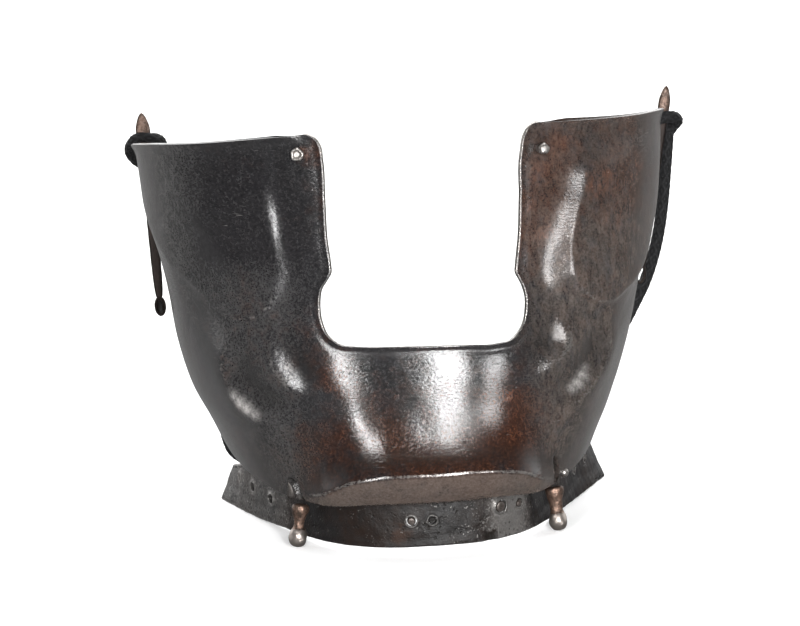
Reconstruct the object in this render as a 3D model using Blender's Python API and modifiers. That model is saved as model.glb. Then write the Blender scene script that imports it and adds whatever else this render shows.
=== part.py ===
"""Samurai half mask of forged iron: cheeks and chin in one sheet, neck plate, posts, studs and chin cord.

All sizes below are in millimetres; +Z is up, the face looks along -Y, and the mask stands on z = 0.
A place on the shell is told by its angle round the face (0 at the chin's middle, 90 at the ear, negative
on the -X side) and by its height.
"""

import bpy
import math

import numpy as np

MM = 0.001
SHIFT_X = -2.1
SHIFT_Y = 9.2  # brings the middle of the metal's bounding box over the origin

# ---- driving dimensions -------------------------------------------------------------------------
WALL = 1.5
PLATE_WALL = 1.3
GAP = 0.3
EAR_Y = 22.0  # depth of the widest line, where the plan turns from oval to straight
ROUNDNESS = 2.4  # exponent of the plan's oval: 2 is an ellipse, more is squarer
ARC_MM = 1.12  # millimetres of surface to one degree of angle

# plan of the shell at each height: half width at the ears, and how far the middle stands forward
HEIGHTS = (0, 12, 20, 28, 37, 50, 64, 80, 97, 116)
HALF_LEFT = (50, 52.5, 55.5, 59, 63.4, 66.9, 68.6, 70.2, 71.5, 73)
HALF_RIGHT = (46, 48.5, 51.7, 55.4, 59, 63, 66.2, 68.3, 69.8, 70.3)
FORWARD = (50, 50, 50.5, 50, 49, 48, 45, 42.5, 41, 39.5)

# the edge round nose and mouth: share of the way round, angle, height
OPENING = (
    (0.000, -26.4, 114.9), (0.012, -24.2, 113.8), (0.024, -22.9, 111.6), (0.040, -22.5, 108.0),
    (0.100, -22.2, 97.0), (0.165, -21.9, 86.3), (0.205, -21.2, 79.6), (0.216, -21.1, 77.8),
    (0.235, -22.2, 75.2), (0.255, -23.4, 72.8), (0.280, -23.8, 68.0), (0.305, -23.2, 63.8),
    (0.330, -21.5, 60.3),
    (0.350, -19.1, 58.4), (0.375, -15.8, 57.8), (0.440, -6.0, 57.4), (0.500, 0.0, 57.2),
    (0.565, 9.0, 56.8), (0.625, 15.8, 56.4), (0.650, 19.3, 57.0), (0.670, 21.5, 59.3),
    (0.695, 23.1, 62.5), (0.720, 23.8, 67.1), (0.745, 23.4, 70.5), (0.768, 22.6, 73.0),
    (0.783, 22.0, 74.8), (0.795, 22.3, 76.8), (0.835, 23.5, 84.0), (0.900, 24.5, 95.0), (0.960, 25.6, 107.3),
    (0.976, 26.6, 111.3), (0.988, 28.2, 113.6), (1.000, 30.4, 114.3),
)
# half of the outer bend, down the back of the cheek and along the jaw: share, angle, height,
# and the drop and inward reach of the narrow band turned under it
OUTER = (
    (0.000, 98.0, 103.4, 0.0, 0.2), (0.100, 97.4, 86.0, 0.0, 0.2), (0.200, 96.4, 68.0, 0.0, 0.3),
    (0.270, 95.0, 52.5, 0.2, 0.5), (0.320, 92.0, 40.0, 0.8, 0.8), (0.360, 86.0, 30.0, 2.0, 2.0),
    (0.390, 76.0, 23.6, 2.6, 3.8), (0.420, 60.5, 18.9, 2.4, 6.6), (0.440, 45.5, 16.0, 1.6, 8.0),
    (0.455, 34.5, 14.2, 1.2, 7.8), (0.470, 22.5, 14.6, 1.2, 5.6), (0.485, 12.0, 15.1, 1.2, 3.9),
    (0.500, 0.0, 15.2, 1.2, 3.1),
)
REAR_REACH = 2.0  # how far the turned band carries on backwards behind the ear
CORNER_UP = 1.3  # how much higher the rear top corner stands on the right
TOP_BOW = ((0, 0), (0.12, 0.5), (0.3, 1.2), (0.55, 2.3), (0.8, 1.6), (1, 0))  # the top edge's rise
LIP_OUT = 1.0
LIP_DEEP = 2.2

# raised forms: lines in (angle, height) with their swell
LOBE_UP = 3.4
LOBE_LEFT = (
    (-40, 130), (-39, 112), (-37.5, 101.5), (-36, 94.5), (-34.8, 87), (-33.5, 79.5), (-33.2, 75), (-34.5, 70),
    (-37.5, 65.8), (-41, 64), (-46, 64.6), (-50, 67), (-56, 71), (-62, 75.5), (-70, 81), (-80, 87),
    (-95, 95), (-125, 108),
)
LOBE_RIGHT = (
    (42, 130), (43, 112), (41.8, 103), (40.5, 95.5), (38, 88), (36, 80), (35.4, 74), (36.2, 69), (38.8, 65.3),
    (43, 62.9), (47, 62.9), (51, 64.3), (56, 66), (61, 69), (65, 73.5), (69, 79), (74, 85), (82, 91),
    (95, 98), (125, 108),
)
# crest line, height of the crest, width of its steep inner side, width of its easy outer side
FOLDS = (
    (((-36.5, 66), (-36.3, 61), (-35.6, 56.5), (-34.2, 52.5), (-31.8, 48.5), (-28.8, 45), (-26.0, 42.3)),
     1.3, 5.5, 8.0),
    (((-41.5, 62), (-44, 58.8), (-46.6, 54), (-47, 49), (-44.3, 44), (-39.6, 39.4), (-33.8, 35.8),
      (-28.5, 35)), 2.3, 6.0, 10.0),
    (((30.5, 66.5), (31.8, 62), (32.6, 58.5), (32.8, 54.5), (30.7, 51), (27.5, 48), (24, 45.3), (21.5, 43.5)),
     1.6, 5.5, 8.0),
    (((41.5, 60.5), (43.6, 57.8), (45, 54.3), (45.2, 50.5), (43.6, 46), (40.6, 42.4), (37, 39.2), (33, 37),
      (28.7, 36), (24.5, 35.8)), 2.4, 6.0, 10.0),
)
CHIN_ANGLE = (0, 12, 18, 22, 26, 31, 36)
CHIN_CREST = (23.2, 23.0, 21.6, 19.2, 17.2, 16.0, 15.4)
CHIN_UP = (6.2, 6.1, 5.7, 4.4, 2.2, 0.5, 0.0)

# neck plate: angle, radius of its foot and of its top from the ear line's centre, height of foot and top
PLATE = (
    (-89.0, 57.3, 52.9, 0.0, 10.2), (-82.0, 55.0, 51.6, 0.0, 11.8), (-74.0, 53.6, 51.4, 0.0, 13.8),
    (-62.0, 53.2, 51.8, 0.1, 16.2), (-44.5, 56.4, 55.0, 0.7, 16.8), (-33.7, 61.3, 59.8, 1.1, 16.4),
    (-23.0, 66.9, 65.6, 1.5, 16.2), (-12.2, 70.6, 69.0, 1.8, 16.2), (0.0, 71.4, 69.4, 2.0, 16.2),
    (12.2, 70.4, 68.5, 1.8, 16.2), (23.0, 65.7, 64.6, 1.5, 16.2), (33.7, 59.2, 57.1, 1.1, 16.4),
    (44.5, 54.2, 52.0, 0.7, 16.8), (62.0, 50.6, 48.4, 0.1, 16.2), (74.0, 51.4, 49.2, 0.0, 13.8),
    (82.0, 53.2, 49.8, 0.0, 11.8), (88.0, 55.4, 51.2, 0.0, 10.2),
)
# holes for the lacing and rivets that fill old holes: angle, share of the plate's height, radius
LACE_HOLES = (
    (-78.6, 0.68, 1.2), (-66.4, 0.55, 1.3), (-53.8, 0.40, 1.3), (-0.3, 0.50, 1.2),
    (62.2, 0.50, 1.2), (73.6, 0.66, 1.2),
)
RIVETS = ((-5.0, 0.50, 1.5), (15.4, 0.60, 1.9), (21.3, 0.56, 1.4))

POST_TOPS = ((-35.4, -32.4, 12.6), (34.3, -32.4, 12.6))
POST_FEET = ((-36.9, -34.0, 2.5), (35.1, -34.2, 2.5))
# radius of a post, and distance down from its top
POST = ((0, 1.1), (2.2, 1.1), (2.45, 1.7), (2.4, 2.8), (2.0, 4.2), (1.55, 5.4), (1.35, 6.6), (1.6, 7.4))
BALL = 2.5
STUDS = ((-28.2, 109.5), (30.4, 107.2))
# where each post's tang comes up through the shell, how long its point is, and its shape
TANGS = ((-32.6, 17.0), (29.6, 16.4))
TANG_LONG = (5.0, 4.2)
TANG_THICK = 0.9
TANG = ((0, -0.5), (0.8, -0.42), (0.9, -0.2), (0.7, 0.05), (0.35, 0.3), (0, 0.5))
POST_RIVET = (34.4, 15.9, 1.3)

# iron strip up the back edge of each cheek: foot and tip, and half width at each share of its length
STRIP_FOOT = ((-71.2, 37.2, 51.2), (69.2, 37.2, 52.4))
STRIP_TIP = ((-73.4, 36.8, 111.8), (79.0, 36.8, 111.2))
STRIP_SLIM = (0.0, 0.18)  # how much narrower the spur is on each side
STRIP_HALF = ((0.0, 0.2), (0.02, 1.1), (0.055, 1.75), (0.10, 1.6), (0.14, 1.3), (0.5, 1.5), (0.84, 1.8),
              (0.88, 2.1), (0.92, 2.1), (0.96, 1.5), (0.99, 0.7), (1.0, 0.15))
STRIP_THICK = 1.4
EYE = (0.058, 0.85, 2.0)  # share up the strip, half width and half height of the eye

CORD = 3.6
CORD_LINE = (
    (-73.2, 42.8, 95.7), (-72.2, 42.5, 90), (-69.8, 42, 80), (-67, 41.6, 67), (-63.8, 41.4, 53),
    (-59.8, 41.2, 40), (-56.6, 41.4, 28), (-54.8, 42.5, 17), (-52.4, 45.2, 8), (-47, 50, 3.2),
    (-36, 56, 2.1), (-20, 60.5, 2.1), (0, 62, 2.1), (20, 60.5, 2.1), (36, 56, 2.1), (47, 50.5, 3.2),
    (52.5, 46.5, 11), (56.8, 43.5, 23), (61.9, 42, 34.5), (67.8, 41.5, 45.4), (71.7, 41.5, 53), (74.4, 41.5, 60.6),
    (76.2, 41.4, 68), (77.5, 41.4, 76), (78.5, 41.3, 85), (79.2, 41.2, 92), (79.7, 41.2, 97.2),
)
KNOTS = (((-74.7, 42.6, 101.0), (4.3, 5.0)), ((80.4, 41.3, 100.8), (3.2, 3.3)))


def clear_scene():
    for thing in list(bpy.data.objects):
        bpy.data.objects.remove(thing, do_unlink=True)


def table(x, xs, ys):
    """Smooth curve through the points (xs, ys), read at x: cubic between points, slopes from neighbours."""
    xs = np.asarray(xs, float)
    ys = np.asarray(ys, float)
    x = np.clip(np.asarray(x, float), xs[0], xs[-1])
    slope = np.gradient(ys, xs)
    i = np.clip(np.searchsorted(xs, x, side="right") - 1, 0, len(xs) - 2)
    h = xs[i + 1] - xs[i]
    u = (x - xs[i]) / h
    rise = ys[i] * (1 + 2 * u) * (1 - u) ** 2 + ys[i + 1] * u * u * (3 - 2 * u)
    return rise + h * (slope[i] * u * (1 - u) ** 2 + slope[i + 1] * u * u * (u - 1))


def ease(x):
    """0 below 0, 1 above 1, smooth between."""
    x = np.clip(x, 0.0, 1.0)
    return x * x * (3 - 2 * x)


def plan(angle, z):
    """The bare shell's plan: an oval forward of the ear line and nearly straight sides behind it."""
    right = ease((angle + 25) / 50)
    half = table(z, HEIGHTS, HALF_LEFT) * (1 - right) + table(z, HEIGHTS, HALF_RIGHT) * right
    front = table(z, HEIGHTS, FORWARD) + EAR_Y
    a = np.radians(np.minimum(np.abs(angle), 90.0))
    radius = ((np.sin(a) / half) ** ROUNDNESS + (np.cos(a) / front) ** ROUNDNESS) ** (-1 / ROUNDNESS)
    behind = np.radians(np.maximum(np.abs(angle) - 90.0, 0.0))
    x = np.sign(angle) * (radius * np.sin(a) - 0.05 * half * behind**2)
    y = EAR_Y - radius * np.cos(a) + half * behind
    return np.stack([x, y, z + 0 * x], -1)


def drawn(points, count=80):
    """A smooth line through the given (angle, height) points."""
    points = np.asarray(points, float)
    steps = np.hypot(np.diff(points[:, 0]) * ARC_MM, np.diff(points[:, 1]))
    t = np.concatenate([[0.0], np.cumsum(steps)]) / steps.sum()
    u = np.linspace(0, 1, count)
    return np.stack([table(u, t, points[:, 0]), table(u, t, points[:, 1])], -1)


def distance(angle, z, line):
    """Distance in mm to a line on the surface, positive on the ear's side of it, and the share along it."""
    s = angle * ARC_MM
    line = line * np.array([ARC_MM, 1.0])
    nearest = np.full(angle.shape, 1e9)
    signed = np.zeros(angle.shape)
    share = np.zeros(angle.shape)
    for k in range(len(line) - 1):
        a, d = line[k], line[k + 1] - line[k]
        u = np.clip(((s - a[0]) * d[0] + (z - a[1]) * d[1]) / (d @ d), 0, 1)
        away = np.hypot(s - a[0] - u * d[0], z - a[1] - u * d[1])
        closer = away < nearest
        side = np.sign(d[1] * (s - a[0]) - d[0] * (z - a[1]))
        nearest = np.where(closer, away, nearest)
        signed = np.where(closer, side * away, signed)
        share = np.where(closer, (k + u) / (len(line) - 1), share)
    return signed, share


def relief(angle, z):
    """How far the surface is beaten out from the plain form: cheek lobes, mouth folds and chin ridge."""
    out = np.zeros(angle.shape)
    borders = ((LOBE_LEFT, 1, 0.26, 5.5, 2.0, 0.5, 94, 70, 14), (LOBE_RIGHT, -1, 0.78, 9.0, 2.0, 0.5, 98, 84, 14))
    for line, side, low, broad, power, soft, high, turn, fade in borders:
        away = distance(angle, z, drawn(line, 120))[0] * side
        belly = np.maximum(ease((turn - z) / fade), ease((np.abs(angle) - 48) / 18))
        crest = (low + (1 - low) * belly) * (1 - 0.8 * ease((z - high) / 13) * (1 - belly))
        far = ease((-angle - 56) / 16)
        width, bend = broad + (9.0 - broad) * belly + 19 * far, power + (1.6 - power) * belly + 0.6 * far
        soft = soft + (0.5 - soft) * belly
        drop = (np.sqrt(away**2 + soft**2) - away) / 2
        flank = np.clip(1 - drop / width, 0, 1) ** bend
        out += LOBE_UP * (crest * flank + (1 - crest) * ease(away / 26.0))
    out += 0.09 * ARC_MM * np.maximum(np.minimum(angle, 0) + 33, 0) * ease((z - 62) / 16) * ease(-angle / 12)
    for line, up, rise, fall in FOLDS:
        side = 1 if line[0][0] < 0 else -1
        away, share = distance(angle, z, drawn(line))
        away = away * side
        along = ease(share / 0.22) * ease((1 - share) / 0.3)
        crest = np.where(away > 0, np.exp(-((np.maximum(away, 0) / fall) ** 1.6)), ease(1 + away / rise))
        groove = np.exp(-(((away + 0.95 * rise) / (0.55 * rise)) ** 2))
        out += (up * crest - 0.3 * groove) * along
    turn = np.abs(angle - 0.5)
    crest = table(turn, CHIN_ANGLE, CHIN_CREST)
    above = np.exp(-((np.maximum(z - crest, 0) / 7.5) ** 1.15))
    below = 1 - 0.75 * np.clip((crest - z) / 8.5, 0, 1) ** 1.3
    return out + table(turn, CHIN_ANGLE, CHIN_UP) * np.where(z > crest, above, below)


def shell_places(shares, rows):
    """Angle and height over a grid: shares run along the band from one ear to the other, rows across it."""
    opening = np.array(OPENING)
    half = np.array(OUTER)
    mirrored = half[-2::-1] * [-1, 1, 1, 1, 1] + [1, 0, 0, 0, 0]
    outer = np.concatenate([half * [1, -1, 1, 1, 1], mirrored])
    inner = np.stack([table(shares, opening[:, 0], opening[:, k]) for k in (1, 2)], -1)
    bend = np.stack([table(shares, outer[:, 0], outer[:, k]) for k in (1, 2)], -1)
    places = inner[:, None] * (1 - rows[None, :, None]) + bend[:, None] * rows[None, :, None]
    near_top = np.clip(1 - np.minimum(shares, 1 - shares) / 0.22, 0, 1) ** 2
    right = (shares > 0.5)[:, None]
    bow = table(rows, *np.array(TOP_BOW).T)[None, :] * np.where(right, 1.0, 0.8)
    places[..., 1] += near_top[:, None] * (bow + np.where(right, CORNER_UP * rows[None, :], 0.0))
    turned = np.stack([table(shares, outer[:, 0], outer[:, k]) for k in (3, 4)], -1)
    return places, turned


def shell_surface(shares, rows, band=3):
    """Outer face of the shell as a grid of points, with the band turned under as the last rows."""
    places, turned = shell_places(shares, rows)
    angle, z = places[..., 0], places[..., 1]
    bare = plan(angle, z)
    across = plan(angle + 0.05, z) - plan(angle - 0.05, z)
    upward = plan(angle, z + 0.05) - plan(angle, z - 0.05)
    normal = np.cross(across, upward)
    normal /= np.linalg.norm(normal, axis=-1, keepdims=True)
    up = relief(angle, z)
    edge = np.minimum(shares, 1 - shares)[:, None] * 175.0
    up = up + LIP_OUT * np.exp(-((edge / LIP_DEEP) ** 2)) * ease(rows[None, :] / 0.25)
    face = bare + normal * up[..., None]
    last = face[:, -1]
    inward = np.stack([0 - last[:, 0], EAR_Y - last[:, 1]], -1)
    behind = last[:, 1] > EAR_Y
    inward[behind, 1] = 0.0
    inward /= np.linalg.norm(inward, axis=-1, keepdims=True)
    reach = REAR_REACH * ease((last[:, 1] - 12) / 14)
    ledge = []
    for k in range(1, band + 1):
        w = k / band
        step = np.stack([inward[:, 0] * turned[:, 1] * w, inward[:, 1] * turned[:, 1] * w + reach * w,
                         -turned[:, 0] * w], -1)
        ledge.append(last + step)
    return np.concatenate([face, np.stack(ledge, 1)], 1)


def placed(points):
    """Millimetres to metres, with the middle of the bounding box over the origin."""
    return (np.asarray(points, float) + [SHIFT_X, SHIFT_Y, 0.0]) * MM


def material(name, colour, roughness, metallic):
    made = bpy.data.materials.new(name)
    made.use_nodes = True
    shader = made.node_tree.nodes["Principled BSDF"]
    shader.inputs["Base Color"].default_value = (*colour, 1.0)
    shader.inputs["Roughness"].default_value = roughness
    shader.inputs["Metallic"].default_value = metallic
    return made


def add(name, vertices, faces, colour, roughness=0.4, metallic=1.0, smooth=True):
    mesh = bpy.data.meshes.new(name)
    mesh.from_pydata([tuple(v) for v in placed(vertices)], [], faces)
    mesh.validate()
    mesh.materials.append(material(name + "_surface", colour, roughness, metallic))
    if smooth:
        mesh.polygons.foreach_set("use_smooth", [True] * len(mesh.polygons))
    thing = bpy.data.objects.new(name, mesh)
    group.objects.link(thing)
    return thing


def sheet(name, grid, wall, colour, roughness=0.4, metallic=1.0):
    """A grid of points made into a sheet with its thickness on the inner side."""
    n, m = grid.shape[:2]
    faces = [
        (i * m + j, i * m + j + 1, (i + 1) * m + j + 1, (i + 1) * m + j)
        for i in range(n - 1)
        for j in range(m - 1)
    ]
    thing = add(name, grid.reshape(-1, 3), faces, colour, roughness, metallic)
    solid = thing.modifiers.new("wall", "SOLIDIFY")
    solid.thickness = wall * MM
    solid.offset = -1.0
    return thing


def turned(name, profile, at, axis, colour, roughness=0.35, steps=24):
    """A turned piece: (radius, distance along the axis) pairs swept round the axis from a point."""
    ring = np.arange(steps) * 2 * math.pi / steps
    axis = np.asarray(axis, float) / np.linalg.norm(axis)
    side = np.cross(axis, [0.0, 1.0, 0.0] if abs(axis[1]) < 0.9 else [1.0, 0.0, 0.0])
    side /= np.linalg.norm(side)
    other = np.cross(axis, side)
    round_ = np.cos(ring)[:, None] * side + np.sin(ring)[:, None] * other
    at = np.asarray(at, float)
    points = [at + axis * profile[0][1]]
    for radius, along in profile[1:-1]:
        points.extend(at + axis * along + radius * round_)
    points.append(at + axis * profile[-1][1])
    rings = len(profile) - 2
    faces = [(0, 1 + (k + 1) % steps, 1 + k) for k in range(steps)]
    for r in range(rings - 1):
        low, high = 1 + r * steps, 1 + (r + 1) * steps
        faces += [(low + k, low + (k + 1) % steps, high + (k + 1) % steps, high + k) for k in range(steps)]
    low, tip = 1 + (rings - 1) * steps, len(points) - 1
    faces += [(low + k, low + (k + 1) % steps, tip) for k in range(steps)]
    return add(name, points, faces, colour, roughness)


def flat_bar(name, foot, tip, slim, colour):
    """A flat strip seen from the front: its outline follows the half widths, with an eye near the foot."""
    foot, tip = np.asarray(foot, float), np.asarray(tip, float)
    length = np.linalg.norm(tip - foot)
    shares = np.array(STRIP_HALF)
    u = np.linspace(0, 1, 41)
    half = table(u, shares[:, 0], shares[:, 1]) * (1 - slim * ease((u - 0.78) / 0.06))
    right = np.stack([half, u * length], -1)
    outline = np.concatenate([right, right[::-1] * [-1, 1]])
    turn = np.linspace(0, 2 * math.pi, 17)[:-1]
    eye = np.stack([EYE[1] * np.cos(turn), EYE[0] * length + EYE[2] * np.sin(turn)], -1)
    curve = bpy.data.curves.new(name, "CURVE")
    curve.dimensions = "2D"
    curve.fill_mode = "BOTH"
    curve.extrude = STRIP_THICK / 2 * MM
    for line in (outline, eye):
        spline = curve.splines.new("POLY")
        spline.points.add(len(line) - 1)
        spline.points.foreach_set("co", [v for x, y in line * MM for v in (x, y, 0.0, 1.0)])
        spline.use_cyclic_u = True
    curve.materials.append(material(name + "_surface", colour, 0.45, 1.0))
    thing = bpy.data.objects.new(name, curve)
    lean = math.atan2(tip[0] - foot[0], tip[2] - foot[2])
    thing.rotation_euler = (math.pi / 2, lean, 0.0)
    thing.location = placed(foot)
    group.objects.link(thing)
    return thing


def cutters(places, depth):
    """Cylinders standing square to the neck plate where its holes go, as one mesh."""
    points, faces = [], []
    for angle, share, radius in places:
        at, out = plate_place(angle, share)
        side = np.cross(out, [0.0, 0.0, 1.0])
        side /= np.linalg.norm(side)
        up = np.cross(out, side)
        ring = np.arange(16) * math.pi / 8
        circle = radius * (np.cos(ring)[:, None] * side + np.sin(ring)[:, None] * up)
        base = len(points)
        points.extend(at - out * depth + circle)
        points.extend(at + out * depth + circle)
        faces.append(tuple(base + k for k in range(15, -1, -1)))
        faces.append(tuple(base + 16 + k for k in range(16)))
        faces += [(base + k, base + (k + 1) % 16, base + 16 + (k + 1) % 16, base + 16 + k) for k in range(16)]
    mesh = bpy.data.meshes.new("hole_cutters")
    mesh.from_pydata([tuple(v) for v in placed(points)], [], faces)
    thing = bpy.data.objects.new("hole_cutters", mesh)
    thing.hide_render = True
    thing.display_type = "WIRE"
    helpers.objects.link(thing)
    return thing


def plate_grid(angles, shares):
    table_ = np.array(PLATE)
    foot, top, low, high = (table(angles, table_[:, 0], table_[:, k]) for k in (1, 2, 3, 4))
    a = np.radians(angles)[:, None]
    radius = foot[:, None] * (1 - shares) + top[:, None] * shares
    z = np.maximum(low, 0.0)[:, None] * (1 - shares) + high[:, None] * shares
    return np.stack([radius * np.sin(a), EAR_Y - radius * np.cos(a), z], -1)


def plate_wall(name, angles, shares, colour, roughness):
    """The plate as a closed wall of even width, its foot and top cut level."""
    outer = plate_grid(angles, shares)
    along = np.gradient(outer[..., :2], axis=0)
    along /= np.linalg.norm(along, axis=-1, keepdims=True)
    inner = outer + PLATE_WALL * np.stack([-along[..., 1], along[..., 0], 0 * along[..., 0]], -1)
    n, m = outer.shape[:2]
    loop = np.concatenate([np.arange(m), np.arange(2 * m - 1, m - 1, -1)])
    rows = np.concatenate([outer, inner], 1)[:, loop]
    k = 2 * m
    faces = [
        (i * k + j, i * k + (j + 1) % k, (i + 1) * k + (j + 1) % k, (i + 1) * k + j)
        for i in range(n - 1)
        for j in range(k)
    ]
    for base, turn in ((0, -1), ((n - 1) * k, 1)):
        for j in range(m - 1):
            quad = (base + j, base + j + 1, base + k - 2 - j, base + k - 1 - j)
            faces.append(quad if turn > 0 else quad[::-1])
    return add(name, rows.reshape(-1, 3), faces, colour, roughness)


def plate_place(angle, share):
    """A point on the plate's outer face and the direction square out of it."""
    around = np.array([-1.0, 0.0, 1.0])
    near = plate_grid(angle + 0.5 * around, share + 0.02 * around)
    out = np.cross(near[2, 1] - near[0, 1], near[1, 2] - near[1, 0])
    return near[1, 1], out / np.linalg.norm(out)


def shell_place(angle, z):
    """A point on the shell's outer face and the direction square out of it."""
    a, h = np.meshgrid([angle - 0.3, angle, angle + 0.3], [z - 0.3, z, z + 0.3], indexing="ij")
    across = plan(a + 0.05, h) - plan(a - 0.05, h)
    upward = plan(a, h + 0.05) - plan(a, h - 0.05)
    out = np.cross(across, upward)
    out /= np.linalg.norm(out, axis=-1, keepdims=True)
    return plan(a, h)[1, 1] + out[1, 1] * relief(a, h)[1, 1], out[1, 1]


def cord(name, line, diameter, colour):
    """A round cord through the given points, with a point about every two diameters."""
    line = np.asarray(line, float)
    t = np.concatenate([[0.0], np.cumsum(np.linalg.norm(np.diff(line, axis=0), axis=1))])
    u = np.linspace(0, t[-1], 64)
    smooth = np.stack([table(u, t, line[:, k]) for k in range(3)], -1)
    curve = bpy.data.curves.new(name, "CURVE")
    curve.dimensions = "3D"
    curve.bevel_depth = diameter / 2 * MM
    curve.bevel_resolution = 2
    curve.use_fill_caps = True
    spline = curve.splines.new("POLY")
    spline.points.add(len(smooth) - 1)
    spline.points.foreach_set("co", [v for p in placed(smooth) for v in (*p, 1.0)])
    curve.materials.append(material(name + "_surface", colour, 0.9, 0.0))
    thing = bpy.data.objects.new(name, curve)
    group.objects.link(thing)
    return thing


def lump(name, at, size, colour):
    """A drawn-up knot: a rounded lump."""
    angles = np.linspace(0, math.pi, 9)
    profile = [(size[0] * math.sin(a), -size[1] * math.cos(a)) for a in angles]
    thing = turned(name, profile, at, (0.0, 0.0, 1.0), colour, 0.9, 16)
    thing.data.materials[0].node_tree.nodes["Principled BSDF"].inputs["Metallic"].default_value = 0.0
    return thing


clear_scene()
group = bpy.data.collections.new("samurai_face_mask")
helpers = bpy.data.collections.new("cutters")
bpy.context.scene.collection.children.link(group)
bpy.context.scene.collection.children.link(helpers)

IRON = (0.075, 0.058, 0.048)
BRIGHT = (0.42, 0.39, 0.36)
BROWN = (0.16, 0.095, 0.065)
BLACK = (0.012, 0.012, 0.013)

ends = np.array([0.0, 0.012, 0.03, 0.055, 0.085, 0.115, 0.15, 0.185])
middle = np.linspace(0.21, 0.5, 41)
half = np.concatenate([ends, middle])
SHARES = np.concatenate([half, 1 - half[-2::-1]])
shell = sheet("face_shell", shell_surface(SHARES, np.linspace(0, 1, 19)), WALL, IRON, 0.38)

plate = plate_wall("neck_plate", np.linspace(-89, 88, 61), np.linspace(1, 0, 4), IRON, 0.5)
holes = plate.modifiers.new("holes", "BOOLEAN")
holes.operation = "DIFFERENCE"
holes.solver = "EXACT"
holes.object = cutters(LACE_HOLES + tuple((a, s, r - 0.1) for a, s, r in RIVETS), 4.0)

for number, (angle, share, radius) in enumerate(RIVETS, 1):
    at, out = plate_place(angle, share)
    stem = radius - 0.1 - GAP
    turned(f"plate_rivet_{number}",
           ((0, -PLATE_WALL - 0.2), (stem, -PLATE_WALL - 0.2), (stem, 0.1), (stem * 0.8, 0.35), (0, 0.45)),
           at, out, BRIGHT, 0.35, 16)

for side, top, foot in zip(("left", "right"), POST_TOPS, POST_FEET):
    top, foot = np.array(top), np.array(foot)
    length = np.linalg.norm(foot - top)
    arc = np.radians([42, 60, 80, 100, 120, 140, 160])
    ball = [(BALL * math.sin(a), length - BALL * math.cos(a)) for a in arc]
    turned(f"chin_post_{side}", POST + tuple(ball) + ((0, length + BALL),), top, foot - top, BROWN, 0.4, 20)

for side, (angle, z), rise in zip(("left", "right"), TANGS, TANG_LONG):
    at, out = shell_place(angle, z)
    up = np.array([0.0, 0.0, 1.0]) - out * out[2]
    shape = tuple((r, t * rise) for r, t in TANG)
    turned(f"post_tang_{side}", shape, at + out * (TANG_THICK + GAP), up, BRIGHT, 0.35, 12)

for side, (angle, z) in zip(("left", "right"), STUDS):
    at, out = shell_place(angle, z)
    lift = 0.9 if side == "right" else 0.0
    turned(f"nose_stud_{side}",
           ((0, GAP), (1.6, GAP), (1.5, 0.9 + lift), (2.2, 1.2 + lift), (2.15, 1.8 + lift), (1.3, 2.6 + lift),
            (0, 2.8 + lift)),
           at, out, BRIGHT, 0.25, 10)

at, out = shell_place(*POST_RIVET[:2])
size = POST_RIVET[2]
head = ((0, GAP), (size, GAP), (0.92 * size, 0.6), (0.6 * size, 1.0), (0, 1.2))
turned("post_rivet_right", head, at, out, BRIGHT, 0.35, 12)

for side, foot, tip, slim in zip(("left", "right"), STRIP_FOOT, STRIP_TIP, STRIP_SLIM):
    flat_bar(f"cord_strip_{side}", foot, tip, slim, BROWN)

cord("chin_cord", CORD_LINE, CORD, BLACK)
lump("cord_knot_left", KNOTS[0][0], KNOTS[0][1], BLACK)
lump("cord_knot_right", KNOTS[1][0], KNOTS[1][1], BLACK)
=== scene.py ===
# %% [markdown]
# # A samurai half mask in forged iron
# The mask covers the cheeks, jaw and chin and leaves the nose and mouth free. One smith's sheet makes the
# whole face; a narrow neck plate is fixed under it, two turned posts under the chin carry the helmet's
# cords, and a black braid is hitched to a slim iron strip behind each ear. This file builds everything that
# shows, as surfaces worked out with numpy, round the measured solids that the physics uses.

# %% Load the solids and keep their box
import math

import bpy
import numpy as np
from mathutils import Matrix


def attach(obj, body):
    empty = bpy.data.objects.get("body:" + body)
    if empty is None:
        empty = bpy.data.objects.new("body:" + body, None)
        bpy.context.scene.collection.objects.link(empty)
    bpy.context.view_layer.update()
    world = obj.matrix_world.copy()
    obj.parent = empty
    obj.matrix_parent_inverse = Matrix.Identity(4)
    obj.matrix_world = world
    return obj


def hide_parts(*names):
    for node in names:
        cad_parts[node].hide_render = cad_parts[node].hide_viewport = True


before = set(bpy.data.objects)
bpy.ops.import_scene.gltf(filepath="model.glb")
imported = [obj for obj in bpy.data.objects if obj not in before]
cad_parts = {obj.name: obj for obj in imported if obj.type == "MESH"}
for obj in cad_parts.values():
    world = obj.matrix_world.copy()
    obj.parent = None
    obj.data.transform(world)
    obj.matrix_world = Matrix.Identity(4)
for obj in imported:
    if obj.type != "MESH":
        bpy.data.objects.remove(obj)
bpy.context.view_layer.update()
print("solid parts:", ", ".join(sorted(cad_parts)))

# %% [markdown]
# ## Sizes
# All shapes are drawn in millimetres, with z up and the face looking along -y, and are turned into metres
# at the very end. `SHIFT` moves the drawing so that the middle of the metal stands over the origin.

# %% Units and the drawing's place
MM = 0.001
SHIFT = np.array([-2.1, 9.2, 0.0])
EAR_Y = 22.0  # depth of the widest line of the face
ARC_MM = 1.12  # millimetres of surface to one degree round the face


def placed(points):
    """Drawing millimetres to metres in the solids' frame."""
    return (np.asarray(points, float) + SHIFT) * MM


# %% [markdown]
# ## The camera
# A long lens stands a little above the mask and a hair to its left, rolled by a few degrees, because the
# mask stands slightly askew to the picture.

# %% Set up the camera
AZIMUTH, ELEVATION, ROLL = np.radians([-3.8, 12.0, 2.6])
DISTANCE = 950.0
LOOK_AT = np.array([0.0, 0.0, 60.0])
ASIDE = -3.66  # the mask's middle is right of and above the picture's middle by this much

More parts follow.
